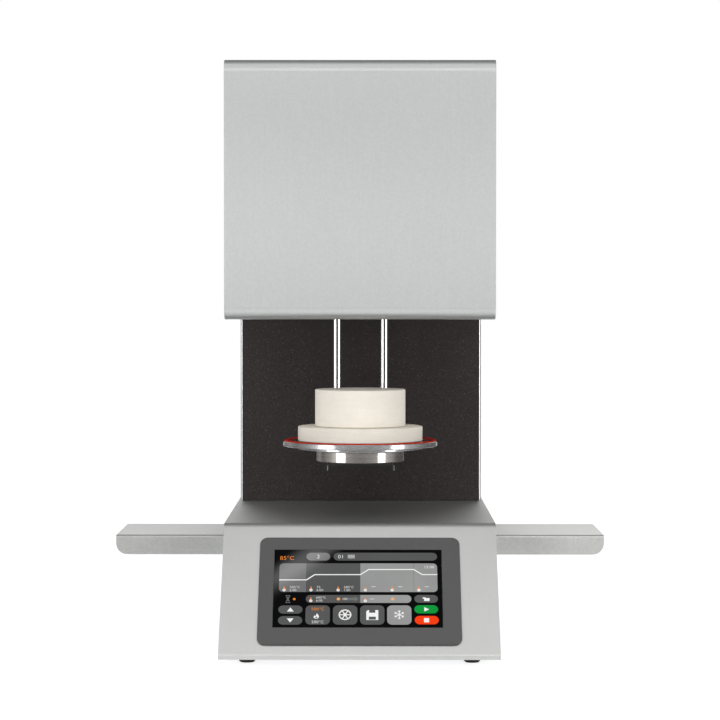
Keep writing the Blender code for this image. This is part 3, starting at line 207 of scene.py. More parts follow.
def speckled_coat():
    """Textured anthracite powder coat with fine light flecks."""
    material, tree, shader = new_material("speckled_coat", Specular_IOR_Level=0.35)
    dark, light = (0.0092, 0.0060, 0.0060), (0.0405, 0.0290, 0.0290)
    worn, bright = (0.016, 0.0115, 0.0110), (0.11, 0.11, 0.115)
    where = place_of(tree)
    flake = add(tree, "TexVoronoi", {"Vector": where, "Scale": 900.0}, feature="F1")
    draw = add(tree, "SeparateColor", {"Color": flake.outputs["Color"]}).outputs[0]
    chosen = spread(tree, draw, 0.93, 0.97)
    near = spread(tree, flake.outputs["Distance"], 0.45, 0.18)
    fleck = maths(tree, "MULTIPLY", chosen, near)
    cloud = noise(tree, where, scale=14, detail=2, roughness=0.5)
    grain = noise(tree, where, scale=620, detail=4, roughness=0.7)
    base = blend(tree, spread(tree, grain, 0.32, 0.68), dark, light)
    base = blend(tree, spread(tree, cloud, 0.35, 0.65, 0, 0.35), base, worn)
    height = maths(tree, "ADD", grain, maths(tree, "MULTIPLY", fleck, 0.4))
    wire(
        tree,
        shader,
        Base_Color=blend(tree, fleck, base, bright),
        Roughness=spread(tree, grain, noise_low, noise_high, 0.46, 0.62),
        Normal=bump(tree, height, distance=0.00008, strength=0.7),
    )
    return material


def ceramic(name, colour):
    """Pressed ceramic fibre: matt, with pores and faint layers."""
    material, tree, shader = new_material(name, Specular_IOR_Level=0.2)
    where = place_of(tree)
    pores = noise(tree, where, scale=1100, detail=4, roughness=0.7)
    cloud = noise(tree, where, scale=60, detail=3, roughness=0.6)
    flattened = stretched(tree, where, (0.15, 0.15, 1.0))
    layers = noise(tree, flattened, scale=420, detail=2, roughness=0.5)
    mix = weighted(tree, (pores, 0.45), (cloud, 0.35), (layers, 0.20))
    wire(
        tree,
        shader,
        Base_Color=blend(tree, spread(tree, mix, 0.35, 0.65), *shades(colour, down=0.07, up=0.05)),
        Roughness=spread(tree, pores, noise_low, noise_high, 0.86, 0.97),
        Normal=bump(tree, mix, distance=0.0002, strength=0.5),
    )
    return material


def turned_metal(name, colour, roughness):
    """Lathe-turned metal: fine grooves round the lift's axis spread the light across them."""
    pitch, depth, rise = 0.0004, 0.000004, 0.06
    material, tree, shader = new_material(name, Metallic=1.0, Anisotropic=0.90)
    where = place_of(tree)
    x, y, z = split(tree, where)
    away = maths(tree, "SUBTRACT", y, lift_axis_y)
    square = maths(tree, "ADD", maths(tree, "MULTIPLY", x, x), maths(tree, "MULTIPLY", away, away))
    radius = maths(tree, "SQRT", square)
    groove = noise(tree, joined(tree, radius, z, 0.0), scale=1 / pitch, detail=3, roughness=0.7)
    cloud = noise(tree, where, scale=60, detail=2, roughness=0.5)
    tone = spread(tree, groove, noise_low, noise_high)
    wire(
        tree,
        shader,
        Tangent=joined(tree, x, away, rise),
        Base_Color=blend(tree, tone, *shades(colour, down=0.18, up=0.12)),
        Roughness=total(tree, swing(tree, groove, 0.05, middle=roughness), swing(tree, cloud, 0.02)),
        Normal=bump(tree, groove, distance=depth, strength=0.8),
    )
    return material


silver = (0.580, 0.592, 0.590)
looks = {
    "satin_sheet": satin_metal("satin_sheet_fine", silver),
    "speckled_coat": speckled_coat(),
    "black_coat": plain(
        "black_coat_fine", (0.016, 0.015, 0.015), 0.45, scale=1400, amount=0.2, depth=0.00005
    ),
    "galvanised": plain("zinc_plate", (0.52, 0.53, 0.54), 0.36, 1.0, scale=160, amount=0.10),
    "rubber": plain("foot_rubber", (0.012, 0.010, 0.010), 0.75, scale=1200, amount=0.2, depth=0.00006),
    "bezel_grey": plain(
        "bezel_paint",
        (0.074, 0.074, 0.074),
        0.42,
        scale=2200,
        amount=0.02,
        depth=0.000004,
        Specular_IOR_Level=0.3,
    ),
    "screen_glass": plain(
        "display_glass",
        (0.0015, 0.0015, 0.0018),
        0.10,
        scale=60,
        amount=0.1,
        depth=0.0,
        Specular_IOR_Level=0.015,
    ),
    "circuit_board": plain("board_green", (0.012, 0.09, 0.03), 0.35, scale=500, amount=0.25),
    "copper_winding": plain(
        "winding", (0.50, 0.20, 0.07), 0.35, 0.9, scale=500, amount=0.25, depth=0.0003
    ),
    "black_plastic": plain(
        "moulded_black", (0.014, 0.014, 0.015), 0.42, scale=1500, amount=0.15, depth=0.00003
    ),
    "brass": plain("brass_turned", (0.62, 0.44, 0.18), 0.28, 1.0),
    "aluminium": turned_metal("turned_aluminium", (0.58, 0.58, 0.585), 0.22),
    "chrome": plain("chrome_rod", (0.80, 0.79, 0.77), 0.07, 1.0, scale=300, amount=0.03, depth=0.0000005),
    "fibre": ceramic("fibre_lining", (0.84, 0.79, 0.705)),
    "silicone": plain(
        "red_silicone",
        (0.44, 0.017, 0.002),
        0.70,
        scale=900,
        amount=0.12,
        depth=0.00003,
        Specular_IOR_Level=0.12,
    ),
    "heating_wire": plain(
        "heating_wire_oxide", (0.16, 0.14, 0.13), 0.5, 0.7, scale=700, amount=0.25, depth=0.00005
    ),
    "porcelain": plain("glazed_porcelain", (0.74, 0.72, 0.67), 0.25, scale=300, amount=0.05),
    "bronze": plain(
        "sintered_bronze", (0.45, 0.29, 0.14), 0.45, 1.0, scale=1500, amount=0.2, depth=0.00004
    ),
    "clear_hose": plain("hose_grey", (0.36, 0.37, 0.37), 0.35, scale=200, amount=0.1),
}

# Nodes that look a little different from the rest of their slot
own_looks = {
    # Painted shade: both shelves are darker copies of the hood's sheet, the left one much darker than the
    # right
    "left_shelf": satin_metal(
        "shelf_sheet_left_painted_shade", (0.44, 0.445, 0.435), roughness=0.47, grain=1.6, uneven=0.80
    ),
    "right_shelf": satin_metal(
        "shelf_sheet_right_painted_shade", (0.548, 0.548, 0.533), roughness=0.47, grain=1.6, uneven=0.80
    ),
    "base_housing": satin_metal(
        "base_sheet", (0.585, 0.59, 0.58), roughness=0.53, grain=0.6, uneven=0.62
    ),
    # Painted shade: the ring and the flange are darker copies of the turned aluminium, the ring's copy also
    # warmer
    "lift_collar": turned_metal("turned_ring_painted_shade", (0.50, 0.467, 0.438), 0.175),
    "lift_flange": turned_metal("turned_flange_painted_shade", (0.47, 0.47, 0.475), 0.24),
    # Partly its own lighter tone, partly painted light: the upper ceramic tier is a lighter copy of the
    # fibre
    "firing_socket": ceramic("socket_fibre_tone_and_light", (0.895, 0.845, 0.76)),
}
for name, item in nodes.items():
    for slot in item.material_slots:
        slot.material = looks[slot.material.name]
for name, material in own_looks.items():
    nodes[name].material_slots[0].material = material


# Smooth faces and soft edges
weld_distance = 0.00001
sharp_angle = math.radians(32)
rim_angle = math.radians(50)
wide_rim, narrow_rim = 0.0003, 0.0002
edge_widths = {
    "hood_cover": wide_rim,
    "base_housing": wide_rim,
    "left_shelf": wide_rim,
    "right_shelf": wide_rim,
    "hood_side_left": narrow_rim,
    "hood_side_right": narrow_rim,
    "column_panel": narrow_rim,
    "rear_cover": narrow_rim,
}


def set_smooth(group, geometry, smooth, domain, chosen=True):
    """Shade the chosen faces or edges smooth or sharp."""
    inputs = {"Geometry": geometry, "Selection": chosen, "Shade Smooth": smooth}
    return add(group, "GeometryNodeSetShadeSmooth", inputs, domain=domain).outputs[0]


def smooth_group():
    """Welds the imported facets and keeps only the real edges sharp."""
    group = bpy.data.node_groups.new("welded_faces", "GeometryNodeTree")
    group.interface.new_socket("Geometry", in_out="INPUT", socket_type="NodeSocketGeometry")
    group.interface.new_socket("Geometry", in_out="OUTPUT", socket_type="NodeSocketGeometry")
    start = add(group, "NodeGroupInput").outputs[0]
    weld = add(group, "GeometryNodeMergeByDistance", {"Geometry": start, "Distance": weld_distance})
    bare = add(group, "GeometryNodeRemoveAttribute", {"Geometry": weld.outputs[0], "Name": "custom_normal"})
    angle = add(group, "GeometryNodeInputMeshEdgeAngle").outputs["Unsigned Angle"]
    sharp = add(group, "FunctionNodeCompare", {0: angle, 1: sharp_angle}, operation="GREATER_THAN")
    faces = set_smooth(group, bare.outputs[0], True, "FACE")
    edges = set_smooth(group, faces, False, "EDGE", sharp.outputs[0])
    add(group, "NodeGroupOutput", {0: edges})
    return group


welded = smooth_group()
for name, item in nodes.items():
    item.modifiers.new("welded", "NODES").node_group = welded
    if name in edge_widths:
        rim = item.modifiers.new("rim", "BEVEL")
        rim.width = edge_widths[name]
        rim.segments = 2
        rim.limit_method = "ANGLE"
        rim.angle_limit = rim_angle
        rim.harden_normals = True


# Pieces of the scene
def new_object(name, mesh):
    """A mesh's object at the origin."""
    item = bpy.data.objects.new(name, mesh)
    scene.collection.objects.link(item)
    return item


def new_piece(name, mesh, body, materials):
    """A piece that rides a body and shows the materials it is given."""
    item = new_object(name, mesh)
    for material in materials:
        mesh.materials.append(material)
    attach(item, body)


def walls(count):
    """The faces between two rings of points."""
    return [(i, (i + 1) % count, count + (i + 1) % count, count + i) for i in range(count)]


def circle(radius, count, x=0, y=0):
    """Points round a circle."""
    turns = [math.tau * i / count for i in range(count)]
    return [(x + radius * math.cos(turn), y + radius * math.sin(turn)) for turn in turns]


# Strips of bright metal. Down the column's front bends they are a painted highlight, laid on the turn of
# each bend where the side keys light it; at each side of the arm's front they are thin bright lines
bright_strip = plain("bright_strip_metal", (0.60, 0.60, 0.61), 0.34, 1.0, scale=1800, amount=0.12, depth=0.00001)
sides = ((-1, "left"), (1, "right"))
strip_gap = 0.0004
column_bend = 0.0022
column_highlight_half = 0.00006
column_highlight_behind_hood = 0.012
# The painted highlight covers each bend of the column from this angle, through this turn, in these steps
highlight_from, highlight_turn, highlight_steps = 16, 24, 6
arm_strip_insets = {"left": 0.0015, "right": 0.0001}
arm_strip_width, arm_strip_proud, arm_strip_sunk = 0.0005, 0.00005, 0.0003
arm_strip_below_top = 0.0024


def swept_strip(name, section, start, end):
    """A thin closed section in x and y, run straight up from start to end."""
    mesh = bpy.data.meshes.new(name)
    count = len(section)
    points = [(x, y, z) for z in (start, end) for x, y in section]
    caps = [tuple(reversed(range(count))), tuple(range(count, 2 * count))]
    mesh.from_pydata(points, [], walls(count) + caps)
    mesh.update()
    return mesh


def column_highlight_strips():
    """A painted highlight: a bright metal strip down each front bend of the column."""
    low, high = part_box("column_panel")
    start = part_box("base_housing")[1][2] + strip_gap
    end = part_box("hood_cover")[0][2] + column_highlight_behind_hood
    angles = [math.radians(highlight_from + highlight_turn * i / highlight_steps) for i in range(highlight_steps + 1)]
    for side, place in sides:
        x, y = side * (high[0] - column_bend), low[1] + column_bend
        section = []
        for radius, way in ((column_bend + column_highlight_half, 1), (column_bend - column_highlight_half, -1)):
            section += [(x + side * radius * math.sin(a), y - radius * math.cos(a)) for a in angles[::way]]
        name = "column_highlight_strip_" + place
        new_piece(name, swept_strip(name, section, start, end), "furnace", [bright_strip])


def arm_edges():
    """A thin bright metal strip at each side of the arm's front."""
    low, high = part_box("lift_arm")
    front, back = low[1] - arm_strip_proud, low[1] + arm_strip_sunk
    for side, place in sides:
        outer = side * (high[0] - arm_strip_insets[place])
        inner = outer - side * arm_strip_width
        section = [(outer, front), (inner, front), (inner, back), (outer, back)]
        name = "arm_edge_" + place
        strip = swept_strip(name, section, low[2] + strip_gap, high[2] - arm_strip_below_top)
        new_piece(name, strip, "lift", [bright_strip])


column_highlight_strips()
arm_edges()

# Painted reflection on the display: a light slanting band through a point of the upper left, faded out at
# the foot, added to the glow of the glass and of the inks
painted_reflection_colour = (0.088, 0.088, 0.088)
painted_reflection_x, painted_reflection_rise = -0.0637, 0.0172
painted_reflection_across, painted_reflection_down = 0.62, -0.922
painted_reflection_half_width, painted_reflection_core = 0.0165, 0.001
painted_reflection_fade_from, painted_reflection_fade_to = 0.025, 0.045


def painted_reflection_share(tree):
    """How much of the painted reflection lies at a point of the display."""
    low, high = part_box("touchscreen")
    x, _, z = split(tree, place_of(tree))
    across = maths(tree, "MULTIPLY", maths(tree, "ADD", x, -painted_reflection_x), painted_reflection_across)
    height = maths(tree, "SUBTRACT", z, (low[2] + high[2]) / 2 + painted_reflection_rise)
    away = maths(tree, "ABSOLUTE", maths(tree, "ADD", across, maths(tree, "MULTIPLY", height, painted_reflection_down)))
    band = spread(tree, away, painted_reflection_half_width, painted_reflection_core, curve="SMOOTHSTEP")
    return maths(tree, "MULTIPLY", band, spread(tree, z, low[2] + painted_reflection_fade_from, low[2] + painted_reflection_fade_to))


def with_painted_reflection(tree, colour):
    """The colour with the painted reflection added to it."""
    return blend(tree, painted_reflection_share(tree), colour, painted_reflection_colour, "ADD")


def lit_ink(name, colour):
    """Backlit colour under glass, with the panel's fine pixel rows."""
    material, tree, shader = new_material(
        name,
        Base_Color=(0.004, 0.004, 0.004),
        Roughness=0.14,
        Specular_IOR_Level=0.02,
        Emission_Strength=1.0,
    )
    where = place_of(tree)
    flattened = stretched(tree, where, (1.0, 0.2, 6.0))
    rows = noise(tree, flattened, scale=900, detail=1, roughness=0.4)
    glow = noise(tree, where, scale=30, detail=1, roughness=0.4)
    level = weighted(tree, (rows, 0.5), (glow, 0.5))
    colours = blend(tree, spread(tree, level, 0.35, 0.65), *shades(colour, down=0.10, up=0.05))
    relief = bump(tree, rows, distance=0.000002, strength=0.4)
    # The painted reflection is added to the ink's glow
    wire(tree, shader, Emission_Color=with_painted_reflection(tree, colours), Normal=relief)
    return material


def light_glass():
    """Gives the unlit glass its own faint glow, with the painted reflection added to it."""
    dark, light = (0.0004, 0.0004, 0.0005), (0.0010, 0.0010, 0.0011)
    tree = looks["screen_glass"].node_tree
    unlit = blend(tree, noise(tree, place_of(tree), scale=40), dark, light)
    wire(tree, tree.nodes["Principled BSDF"], Emission_Strength=1.0, Emission_Color=with_painted_reflection(tree, unlit))


inks = {
    "grey": lit_ink("ink_grey", (0.095, 0.096, 0.096)),
    "pale": lit_ink("ink_pale", (0.31, 0.315, 0.31)),
    "soft": lit_ink("ink_soft", (0.17, 0.172, 0.17)),
    "white": lit_ink("ink_white", (0.90, 0.91, 0.90)),
    "dull": lit_ink("ink_dull", (0.84, 0.84, 0.83)),
    "amber": lit_ink("ink_amber", (0.90, 0.25, 0.015)),
    "peach": lit_ink("ink_peach", (0.86, 0.42, 0.16)),
    "green": lit_ink("ink_green", (0.0, 0.30, 0.04)),
    "red": lit_ink("ink_red", (0.95, 0.045, 0.002)),
}
light_glass()


def face_of(name):
    """Middle, right, up and outward directions of a node's sloped face."""
    flat = 0.00002
    mesh = nodes[name].data
    widest = max(mesh.polygons, key=lambda f: f.area if f.normal.z > 0.1 and f.normal.y < -0.1 else 0)
    out = widest.normal.normalized()
    right = Vector((1, 0, 0))
    up = out.cross(right)
    level = widest.center.dot(out)
    face = [v.co for v in mesh.vertices if abs(v.co.dot(out) - level) < flat]
    across = [p.x for p in face]
    along = [p.dot(up) for p in face]
    middle = right * (max(across) + min(across)) / 2 + up * (max(along) + min(along)) / 2 + out * level
    return middle, right, up, out


# Display graphics, in millimetres from the middle of the display
per_metre = 1000
ink_lift, ink_step = 0.05, 0.03
figure_height_share = 0.72
figure_thinning = -0.006
figure_spacing = 1.05
corner_points = 8


class Panel:
    """Flat shapes laid on the display, each in its layer."""

    def __init__(self):
        self.mesh = bmesh.new()
        self.names = list(inks)
        self.middle, self.right, self.up, self.out = face_of("touchscreen")

    def shape(self, points, ink, layer=0):
        """A flat face through the points."""
        height = self.out * (ink_lift + ink_step * layer)
        corners = [
            self.mesh.verts.new(self.middle + (self.right * x + self.up * y + height) / per_metre)
            for x, y in points
        ]
        face = self.mesh.faces.new(corners)
        face.normal_update()
        if face.normal.dot(self.out) < 0:
            face.normal_flip()
        face.material_index = self.names.index(ink)

    def pill(self, x0, x1, y0, y1, ink, radius=None, layer=0, rounded=(True, True)):
        """A field with round corners; rounded says so for its left and its right end."""
        radius = radius or (y1 - y0) / 2
        left, right = rounded
        quarters = (x1, y1, 0, right), (x0, y1, 90, left), (x0, y0, 180, left), (x1, y0, 270, right)
        corners = []
        for x, y, turn, is_round in quarters:
            if not is_round:
                corners.append((x, y))
                continue
            cx = x - radius if x == x1 else x + radius
            cy = y - radius if y == y1 else y + radius
            for i in range(corner_points + 1):
                angle = math.radians(turn + i * 90 / corner_points)
                corners.append((cx + radius * math.cos(angle), cy + radius * math.sin(angle)))
        self.shape(corners, ink, layer)

    def disc(self, x, y, radius, ink, layer=1, count=24):
        """A round dot."""
        self.shape(circle(radius, count, x, y), ink, layer)

    def ring(self, x, y, inner, outer, ink):
        """A round ring, in sectors."""
        count = 36
        near, far = circle(inner, count, x, y), circle(outer, count, x, y)
        for i in range(count):
            j = (i + 1) % count
            self.shape([near[i], far[i], far[j], near[j]], ink, layer=1)

    def line(self, points, width, ink, layer=1):
        """A stroke through points, its corners closed by discs."""
        for (ax, ay), (bx, by) in zip(points, points[1:]):
            length = math.hypot(bx - ax, by - ay)
            ox, oy = -(by - ay) / length * width / 2, (bx - ax) / length * width / 2
            stroke = [(ax + ox, ay + oy), (ax - ox, ay - oy), (bx - ox, by - oy), (bx + ox, by + oy)]
            self.shape(stroke, ink, layer)
        for x, y in points[1:-1]:
            self.disc(x, y, width / 2, ink, layer + 0.3, 10)

    def figures(self, body, x, y, height, ink, align="LEFT"):
        """Figures of the given height with their foot at x, y."""
        curve = bpy.data.curves.new("figures", "FONT")
        curve.body = body
        curve.size = height / figure_height_share
        curve.align_x = align
        curve.offset = figure_thinning * curve.size
        curve.space_character = figure_spacing
        item = new_object("figures", curve)
        bpy.context.view_layer.update()
        mesh = bpy.data.meshes.new_from_object(item.evaluated_get(bpy.context.evaluated_depsgraph_get()))
        for polygon in mesh.polygons:
            points = [mesh.vertices[i].co for i in polygon.vertices]
            self.shape([(point.x + x, point.y + y) for point in points], ink, layer=2)
        bpy.data.objects.remove(item)
        bpy.data.curves.remove(curve)
        bpy.data.meshes.remove(mesh)

    def thermometer(self, x, y):
        """A small thermometer with its bulb's foot just under x, y."""
        self.pill(x - 0.6, x + 0.6, y + 1.2, y + 5.2, "amber", radius=0.55, layer=1)
        self.disc(x, y + 1.35, 1.5, "white", layer=2)
        self.disc(x, y + 1.5, 0.6, "peach", layer=3)

    def finish(self, name):
        """Make the shapes one piece."""
        mesh = bpy.data.meshes.new(name)
        self.mesh.to_mesh(mesh)
        self.mesh.free()
        new_piece(name, mesh, "furnace", inks.values())


celsius = "\N{DEGREE SIGN}C"

# The display's rows, from foot to head, and columns, from left to right
left_edge, right_edge = -72.3, 73.0
header_row = 30.9, 39.8
chart_row = -4.3, 27.75
chart_columns = -47.3, 2.2, 51.3
chart_corner = 4.0
curve_points = (
    (-72.2, 9.06),
    (-47.24, 9.11),
    (-39.75, 14.98),
    (2.22, 15.04),
    (9.79, 20.77),
    (51.38, 20.82),
    (59.2, 15.12),
    (72.9, 15.14),
)
chart_foot = -3.5
set_columns, unset_columns = (-67.5, -42.9, -18.1), (6.8, 31.3, 55.8)
stage_row = -16.3, -7.6
stage_corner = 4.2
stage_foot, stage_middle = -15.4, -12.0
key_row = -40.1, -19.0
key_corner = 4.6
key_columns = (-47.5, -25.3, "grey"), (-22.6, -0.4, "grey"), (2.1, 24.2, "grey"), (26.6, 48.7, "pale")
heat_x = -36.4
wheel_x, wheel_y = -11.6, -29.35
frost_x, frost_y = 37.6, -29.3


def draw_header(panel):
    """Temperature, number and name field along the top; bars take the place of the words."""
    foot, head = header_row
    panel.figures("85" + celsius, -72.2, 31.6, 4.4, "amber")
    panel.pill(-47.7, -25.7, foot, head, "soft")
    panel.figures("2", -36.7, 33.4, 4.2, "white", "CENTER")
    panel.pill(-22.6, 73.1, foot, head, "grey")
    panel.figures("01", -18.6, 33.4, 4.0, "white")
    for i in range(3):
        y = 33.9 + 1.5 * i
        panel.line([(-9.5, y), (-3.0, y)], 0.6, "dull", layer=2)


def draw_chart(panel):
    """The firing curve on its three fields, with the values under it."""
    foot, head = chart_row
    first, second, third = chart_columns
    panel.pill(left_edge, first - 0.1, foot, head, "soft", chart_corner, rounded=(True, False))
    panel.pill(first + 0.1, second, foot, head, "grey", chart_corner, rounded=(False, False))
    panel.pill(second, 72.9, foot, head, "pale", chart_corner, rounded=(False, True))
    panel.line([(third, foot), (third, 27.7)], 0.35, "soft")
    panel.line(curve_points, 1.1, "white", layer=2)
    panel.figures("12:00", 70.3, 22.2, 3.0, "white", "RIGHT")
    values = ("300" + celsius, "6:00"), ("75", "6:00"), ("500" + celsius, "1:00")
    for x, (upper, lower) in zip(set_columns, values):
        panel.thermometer(x, chart_foot)
        panel.figures(upper, x + 5.0, -0.1, 2.5, "dull")
        panel.figures(lower, x + 5.0, -3.4, 2.5, "dull")
    for x in unset_columns:
        panel.thermometer(x, chart_foot)
        panel.line([(x + 5.5, 1.6), (x + 9.3, 1.6)], 0.45, "white")


def draw_hourglass(panel):
    """An hourglass of four strokes."""
    panel.line([(-66.0, -8.4), (-61.6, -8.4)], 0.7, "soft")
    panel.line([(-66.0, -16.0), (-61.6, -16.0)], 0.7, "soft")
    panel.line([(-65.2, -9.4), (-62.4, -14.8)], 0.9, "soft")
    panel.line([(-62.4, -9.4), (-65.2, -14.8)], 0.9, "soft", layer=2)


def draw_stage(panel):
    """The row with the running stage, its arrow and the memory key."""
    foot, head = stage_row
    second = chart_columns[1]
    draw_hourglass(panel)
    panel.disc(-58.0, -12.2, 1.25, "amber")
    panel.pill(-47.5, second, foot, head, "grey", stage_corner, rounded=(True, False))
    panel.pill(second, 48.8, foot, head, "pale", stage_corner, rounded=(False, True))
    panel.thermometer(-42.9, stage_foot)
    panel.figures("600" + celsius, -38.2, -11.6, 2.4, "dull")
    panel.figures("6:00", -38.2, -14.9, 2.4, "dull")
    panel.disc(-17.7, stage_middle, 1.6, "peach")
    panel.line([(-14.0, stage_middle), (-2.6, stage_middle)], 2.6, "soft")
    panel.shape([(-2.9, -9.2), (0.6, stage_middle), (-2.9, -14.8)], "soft", layer=2)
    panel.figures("100", -14.4, -13.0, 2.2, "dull")
    panel.thermometer(6.8, stage_foot)
    panel.line([(11.0, stage_middle), (15.0, stage_middle)], 0.45, "white")
    panel.disc(31.7, stage_middle, 1.6, "peach")
    panel.pill(51.5, right_edge, -16.1, -7.5, "grey")
    panel.pill(60.4, 65.4, -14.2, -11.0, "white", radius=0.4, layer=1)
    panel.pill(59.0, 62.0, -11.6, -10.3, "white", radius=0.4, layer=2)


def draw_arrow_keys(panel):
    """The lift's up and down keys."""
    middle_x, half_width, foot_drop, tip_rise = -61.3, 3.1, 2.2, 2.3
    for y0, y1, way in ((-28.2, -19.2, 1), (-40.2, -30.9, -1)):
        panel.pill(left_edge, -50.3, y0, y1, "grey")
        middle = (y0 + y1) / 2
        foot, tip = middle - foot_drop * way, middle + tip_rise * way
        arrow = [(middle_x - half_width, foot), (middle_x + half_width, foot), (middle_x, tip)]
        panel.shape(arrow, "white", layer=1)


def draw_heat(panel):
    """Two temperatures with a flame between them."""
    panel.figures("500" + celsius, heat_x, -24.6, 3.2, "amber", "CENTER")
    panel.figures("200" + celsius, heat_x, -38.6, 3.0, "dull", "CENTER")
    left = [(-39.0, -33.6), (-40.2, -31.9), (-39.2, -30.0), (-38.2, -30.9)]
    right = [(-37.2, -27.8), (-35.8, -29.6), (-35.2, -31.9), (-36.4, -33.6)]
    panel.shape(left + right, "white", layer=1)
    panel.disc(-37.6, -32.3, 0.9, "grey", layer=2, count=12)


def draw_wheel(panel):
    """A wheel with six spokes."""
    hub, inner, outer = 1.7, 4.6, 5.8
    spoke_ends = 1.0, 4.8
    panel.ring(wheel_x, wheel_y, inner, outer, "white")
    for i in range(6):
        angle = math.pi * i / 3
        ends = [(wheel_x + r * math.cos(angle), wheel_y + r * math.sin(angle)) for r in spoke_ends]
        panel.line(ends, 1.0, "white")
    panel.disc(wheel_x, wheel_y, hub, "white", layer=2)


def draw_disk(panel):
    """A memory disk."""
    outline = [(7.7, -35.0), (18.6, -35.0), (18.6, -24.2), (9.2, -24.2), (7.7, -25.8)]
    panel.shape(outline, "white", layer=1)
    panel.pill(10.3, 15.9, -27.2, -24.2, "grey", radius=0.3, layer=2)
    panel.pill(10.0, 16.4, -34.6, -31.4, "grey", radius=0.3, layer=2)


def draw_frost(panel):
    """A snow crystal: three strokes with a small fork at each end."""
    half, fork_from, fork_length, fork_turn = 5.0, 2.8, 1.9, 0.7
    for i in range(3):
        angle = math.pi * i / 3 + math.pi / 2
        ends = [(frost_x + r * math.cos(angle), frost_y + r * math.sin(angle)) for r in (-half, half)]
        panel.line(ends, 0.75, "white")
        for sign in (-1, 1):
            for turn in (-fork_turn, fork_turn):
                reach, branch = fork_from * sign, fork_length * sign
                root = (frost_x + reach * math.cos(angle), frost_y + reach * math.sin(angle))
                tip = (root[0] + branch * math.cos(angle + turn), root[1] + branch * math.sin(angle + turn))
                panel.line([root, tip], 0.55, "white")


def draw_start_stop(panel):
    """The green start key and the red stop key."""
    panel.pill(51.4, right_edge, -27.8, -18.8, "green")
    panel.shape([(60.4, -25.7), (60.4, -21.0), (64.9, -23.35)], "white", layer=1)
    panel.pill(51.6, 73.4, -39.7, -30.5, "red")
    panel.pill(60.0, 64.6, -37.5, -32.9, "white", radius=0.2, layer=1)


def draw_display():
    """A firing programme's screen, with no words on it."""
    panel = Panel()
    draw_header(panel)
    draw_chart(panel)
    draw_stage(panel)
    draw_arrow_keys(panel)
    for x0, x1, ink in key_columns:
        panel.pill(x0, x1, *key_row, ink, key_corner)
    draw_heat(panel)
    draw_wheel(panel)
    draw_disk(panel)
    draw_frost(panel)
    draw_start_stop(panel)
    panel.finish("display_graphics")


draw_display()

# Studio: a white table with a dark floor round it, in a room of uneven brightness
floor_radius, backdrop_radius = 9, 8.9
backdrop_foot, backdrop_top = -0.01, 5.0
table_radius, table_fade = 1.25, 1.65
table_white, table_light, dark_floor = (0.78, 0.78, 0.78), (0.80, 0.80, 0.80), (0.02, 0.02, 0.02)
table_direct, room_direct = 0.74, 0.26
high_from, high_to, high_glow = 1.4, 2.6, 0.62
near_glow, near_full, near_end = 0.59, 0.8, 1.2
foot_share, foot_from, foot_to = 0.65, 0.25, 0.45

# Compass angle from the front, in degrees, and the room's brightness there
room_stops = (
    (-180, 1.0),
    (-166, 1.0),
    (-150, 0.16),
    (-126, 0.38),
    (-110, 0.08),
    (-88, 0.36),
    (-66, 0.85),
    (-35, 0.45),
    (-22, 0.22),
    (-8, 0.06),
    (8, 0.05),
    (22, 0.15),
    (38, 0.36),
    (66, 0.75),
    (88, 0.44),
    (104, 0.10),
    (130, 0.05),
    (150, 0.20),
    (166, 1.0),
    (180, 1.0),
)


def seen_by(tree, ray):
    """One for the rays of a kind."""
    return add(tree, "LightPath").outputs["Is " + ray + " Ray"]


def mirrored(tree):
    """One for glossy and transmission rays."""
    return maths(tree, "MAXIMUM", seen_by(tree, "Glossy"), seen_by(tree, "Transmission"))


def room_light(tree):
    """Brightness of the room by compass angle; the front is in the middle of the ramp."""
    x, y, _ = split(tree, place_of(tree))
    turn = maths(tree, "ARCTAN2", x, maths(tree, "MULTIPLY", y, -1.0))
    ramp = add(tree, "ValToRGB", {"Fac": spread(tree, turn, -math.pi, math.pi)})
    marks = ramp.color_ramp.elements
    while len(marks) < len(room_stops):
        marks.new(0.5)
    for mark, (angle, level) in zip(marks, room_stops):
        mark.position = (angle + 180) / 360
        mark.color = (level, level, level, 1)
    return ramp.outputs["Color"]


def room_glow(tree, shader, table, near=0.0):
    """White backdrop to the camera, metal and glass; elsewhere the room's own light."""
    away = maths(tree, "SUBTRACT", 1.0, table)
    room = room_light(tree)
    behind = maths(tree, "MULTIPLY", mirrored(tree), spread(tree, room, 0.6, 1.0))
    white = maths(tree, "MAXIMUM", seen_by(tree, "Camera"), behind)
    direct = maths(tree, "ADD", maths(tree, "MULTIPLY", away, room_direct), table_direct)
    not_white = maths(tree, "SUBTRACT", 1.0, white)
    other = maths(tree, "MULTIPLY", not_white, maths(tree, "MULTIPLY", room, away))
    height = split(tree, place_of(tree))[2]
    high = maths(tree, "MULTIPLY", away, spread(tree, height, high_from, high_to, 0.0, high_glow))
    glow = maths(tree, "MULTIPLY", mirrored(tree), maths(tree, "MAXIMUM", near, high))
    other = maths(tree, "MAXIMUM", other, glow)
    strength = maths(tree, "ADD", maths(tree, "MULTIPLY", white, direct), other)
    wire(tree, shader, Emission_Strength=strength, Emission_Color=(1, 1, 1))


def floor_material():
    """White table, with the dark studio floor round it."""
    material, tree, shader = new_material("studio_floor", Roughness=0.9, Specular_IOR_Level=0.0)
    where = place_of(tree)
    away = add(tree, "VectorMath", {0: where}, operation="LENGTH").outputs["Value"]
    table = spread(tree, away, table_fade, table_radius)
    white = blend(tree, noise(tree, where, scale=6), table_white, table_light)
    wire(tree, shader, Base_Color=blend(tree, table, dark_floor, white))
    near = spread(tree, away, near_end, near_full, 0.0, near_glow)
    near = maths(tree, "MULTIPLY", near, spread(tree, away, foot_from, foot_to, foot_share, 1.0))
    room_glow(tree, shader, table, near)
    return material


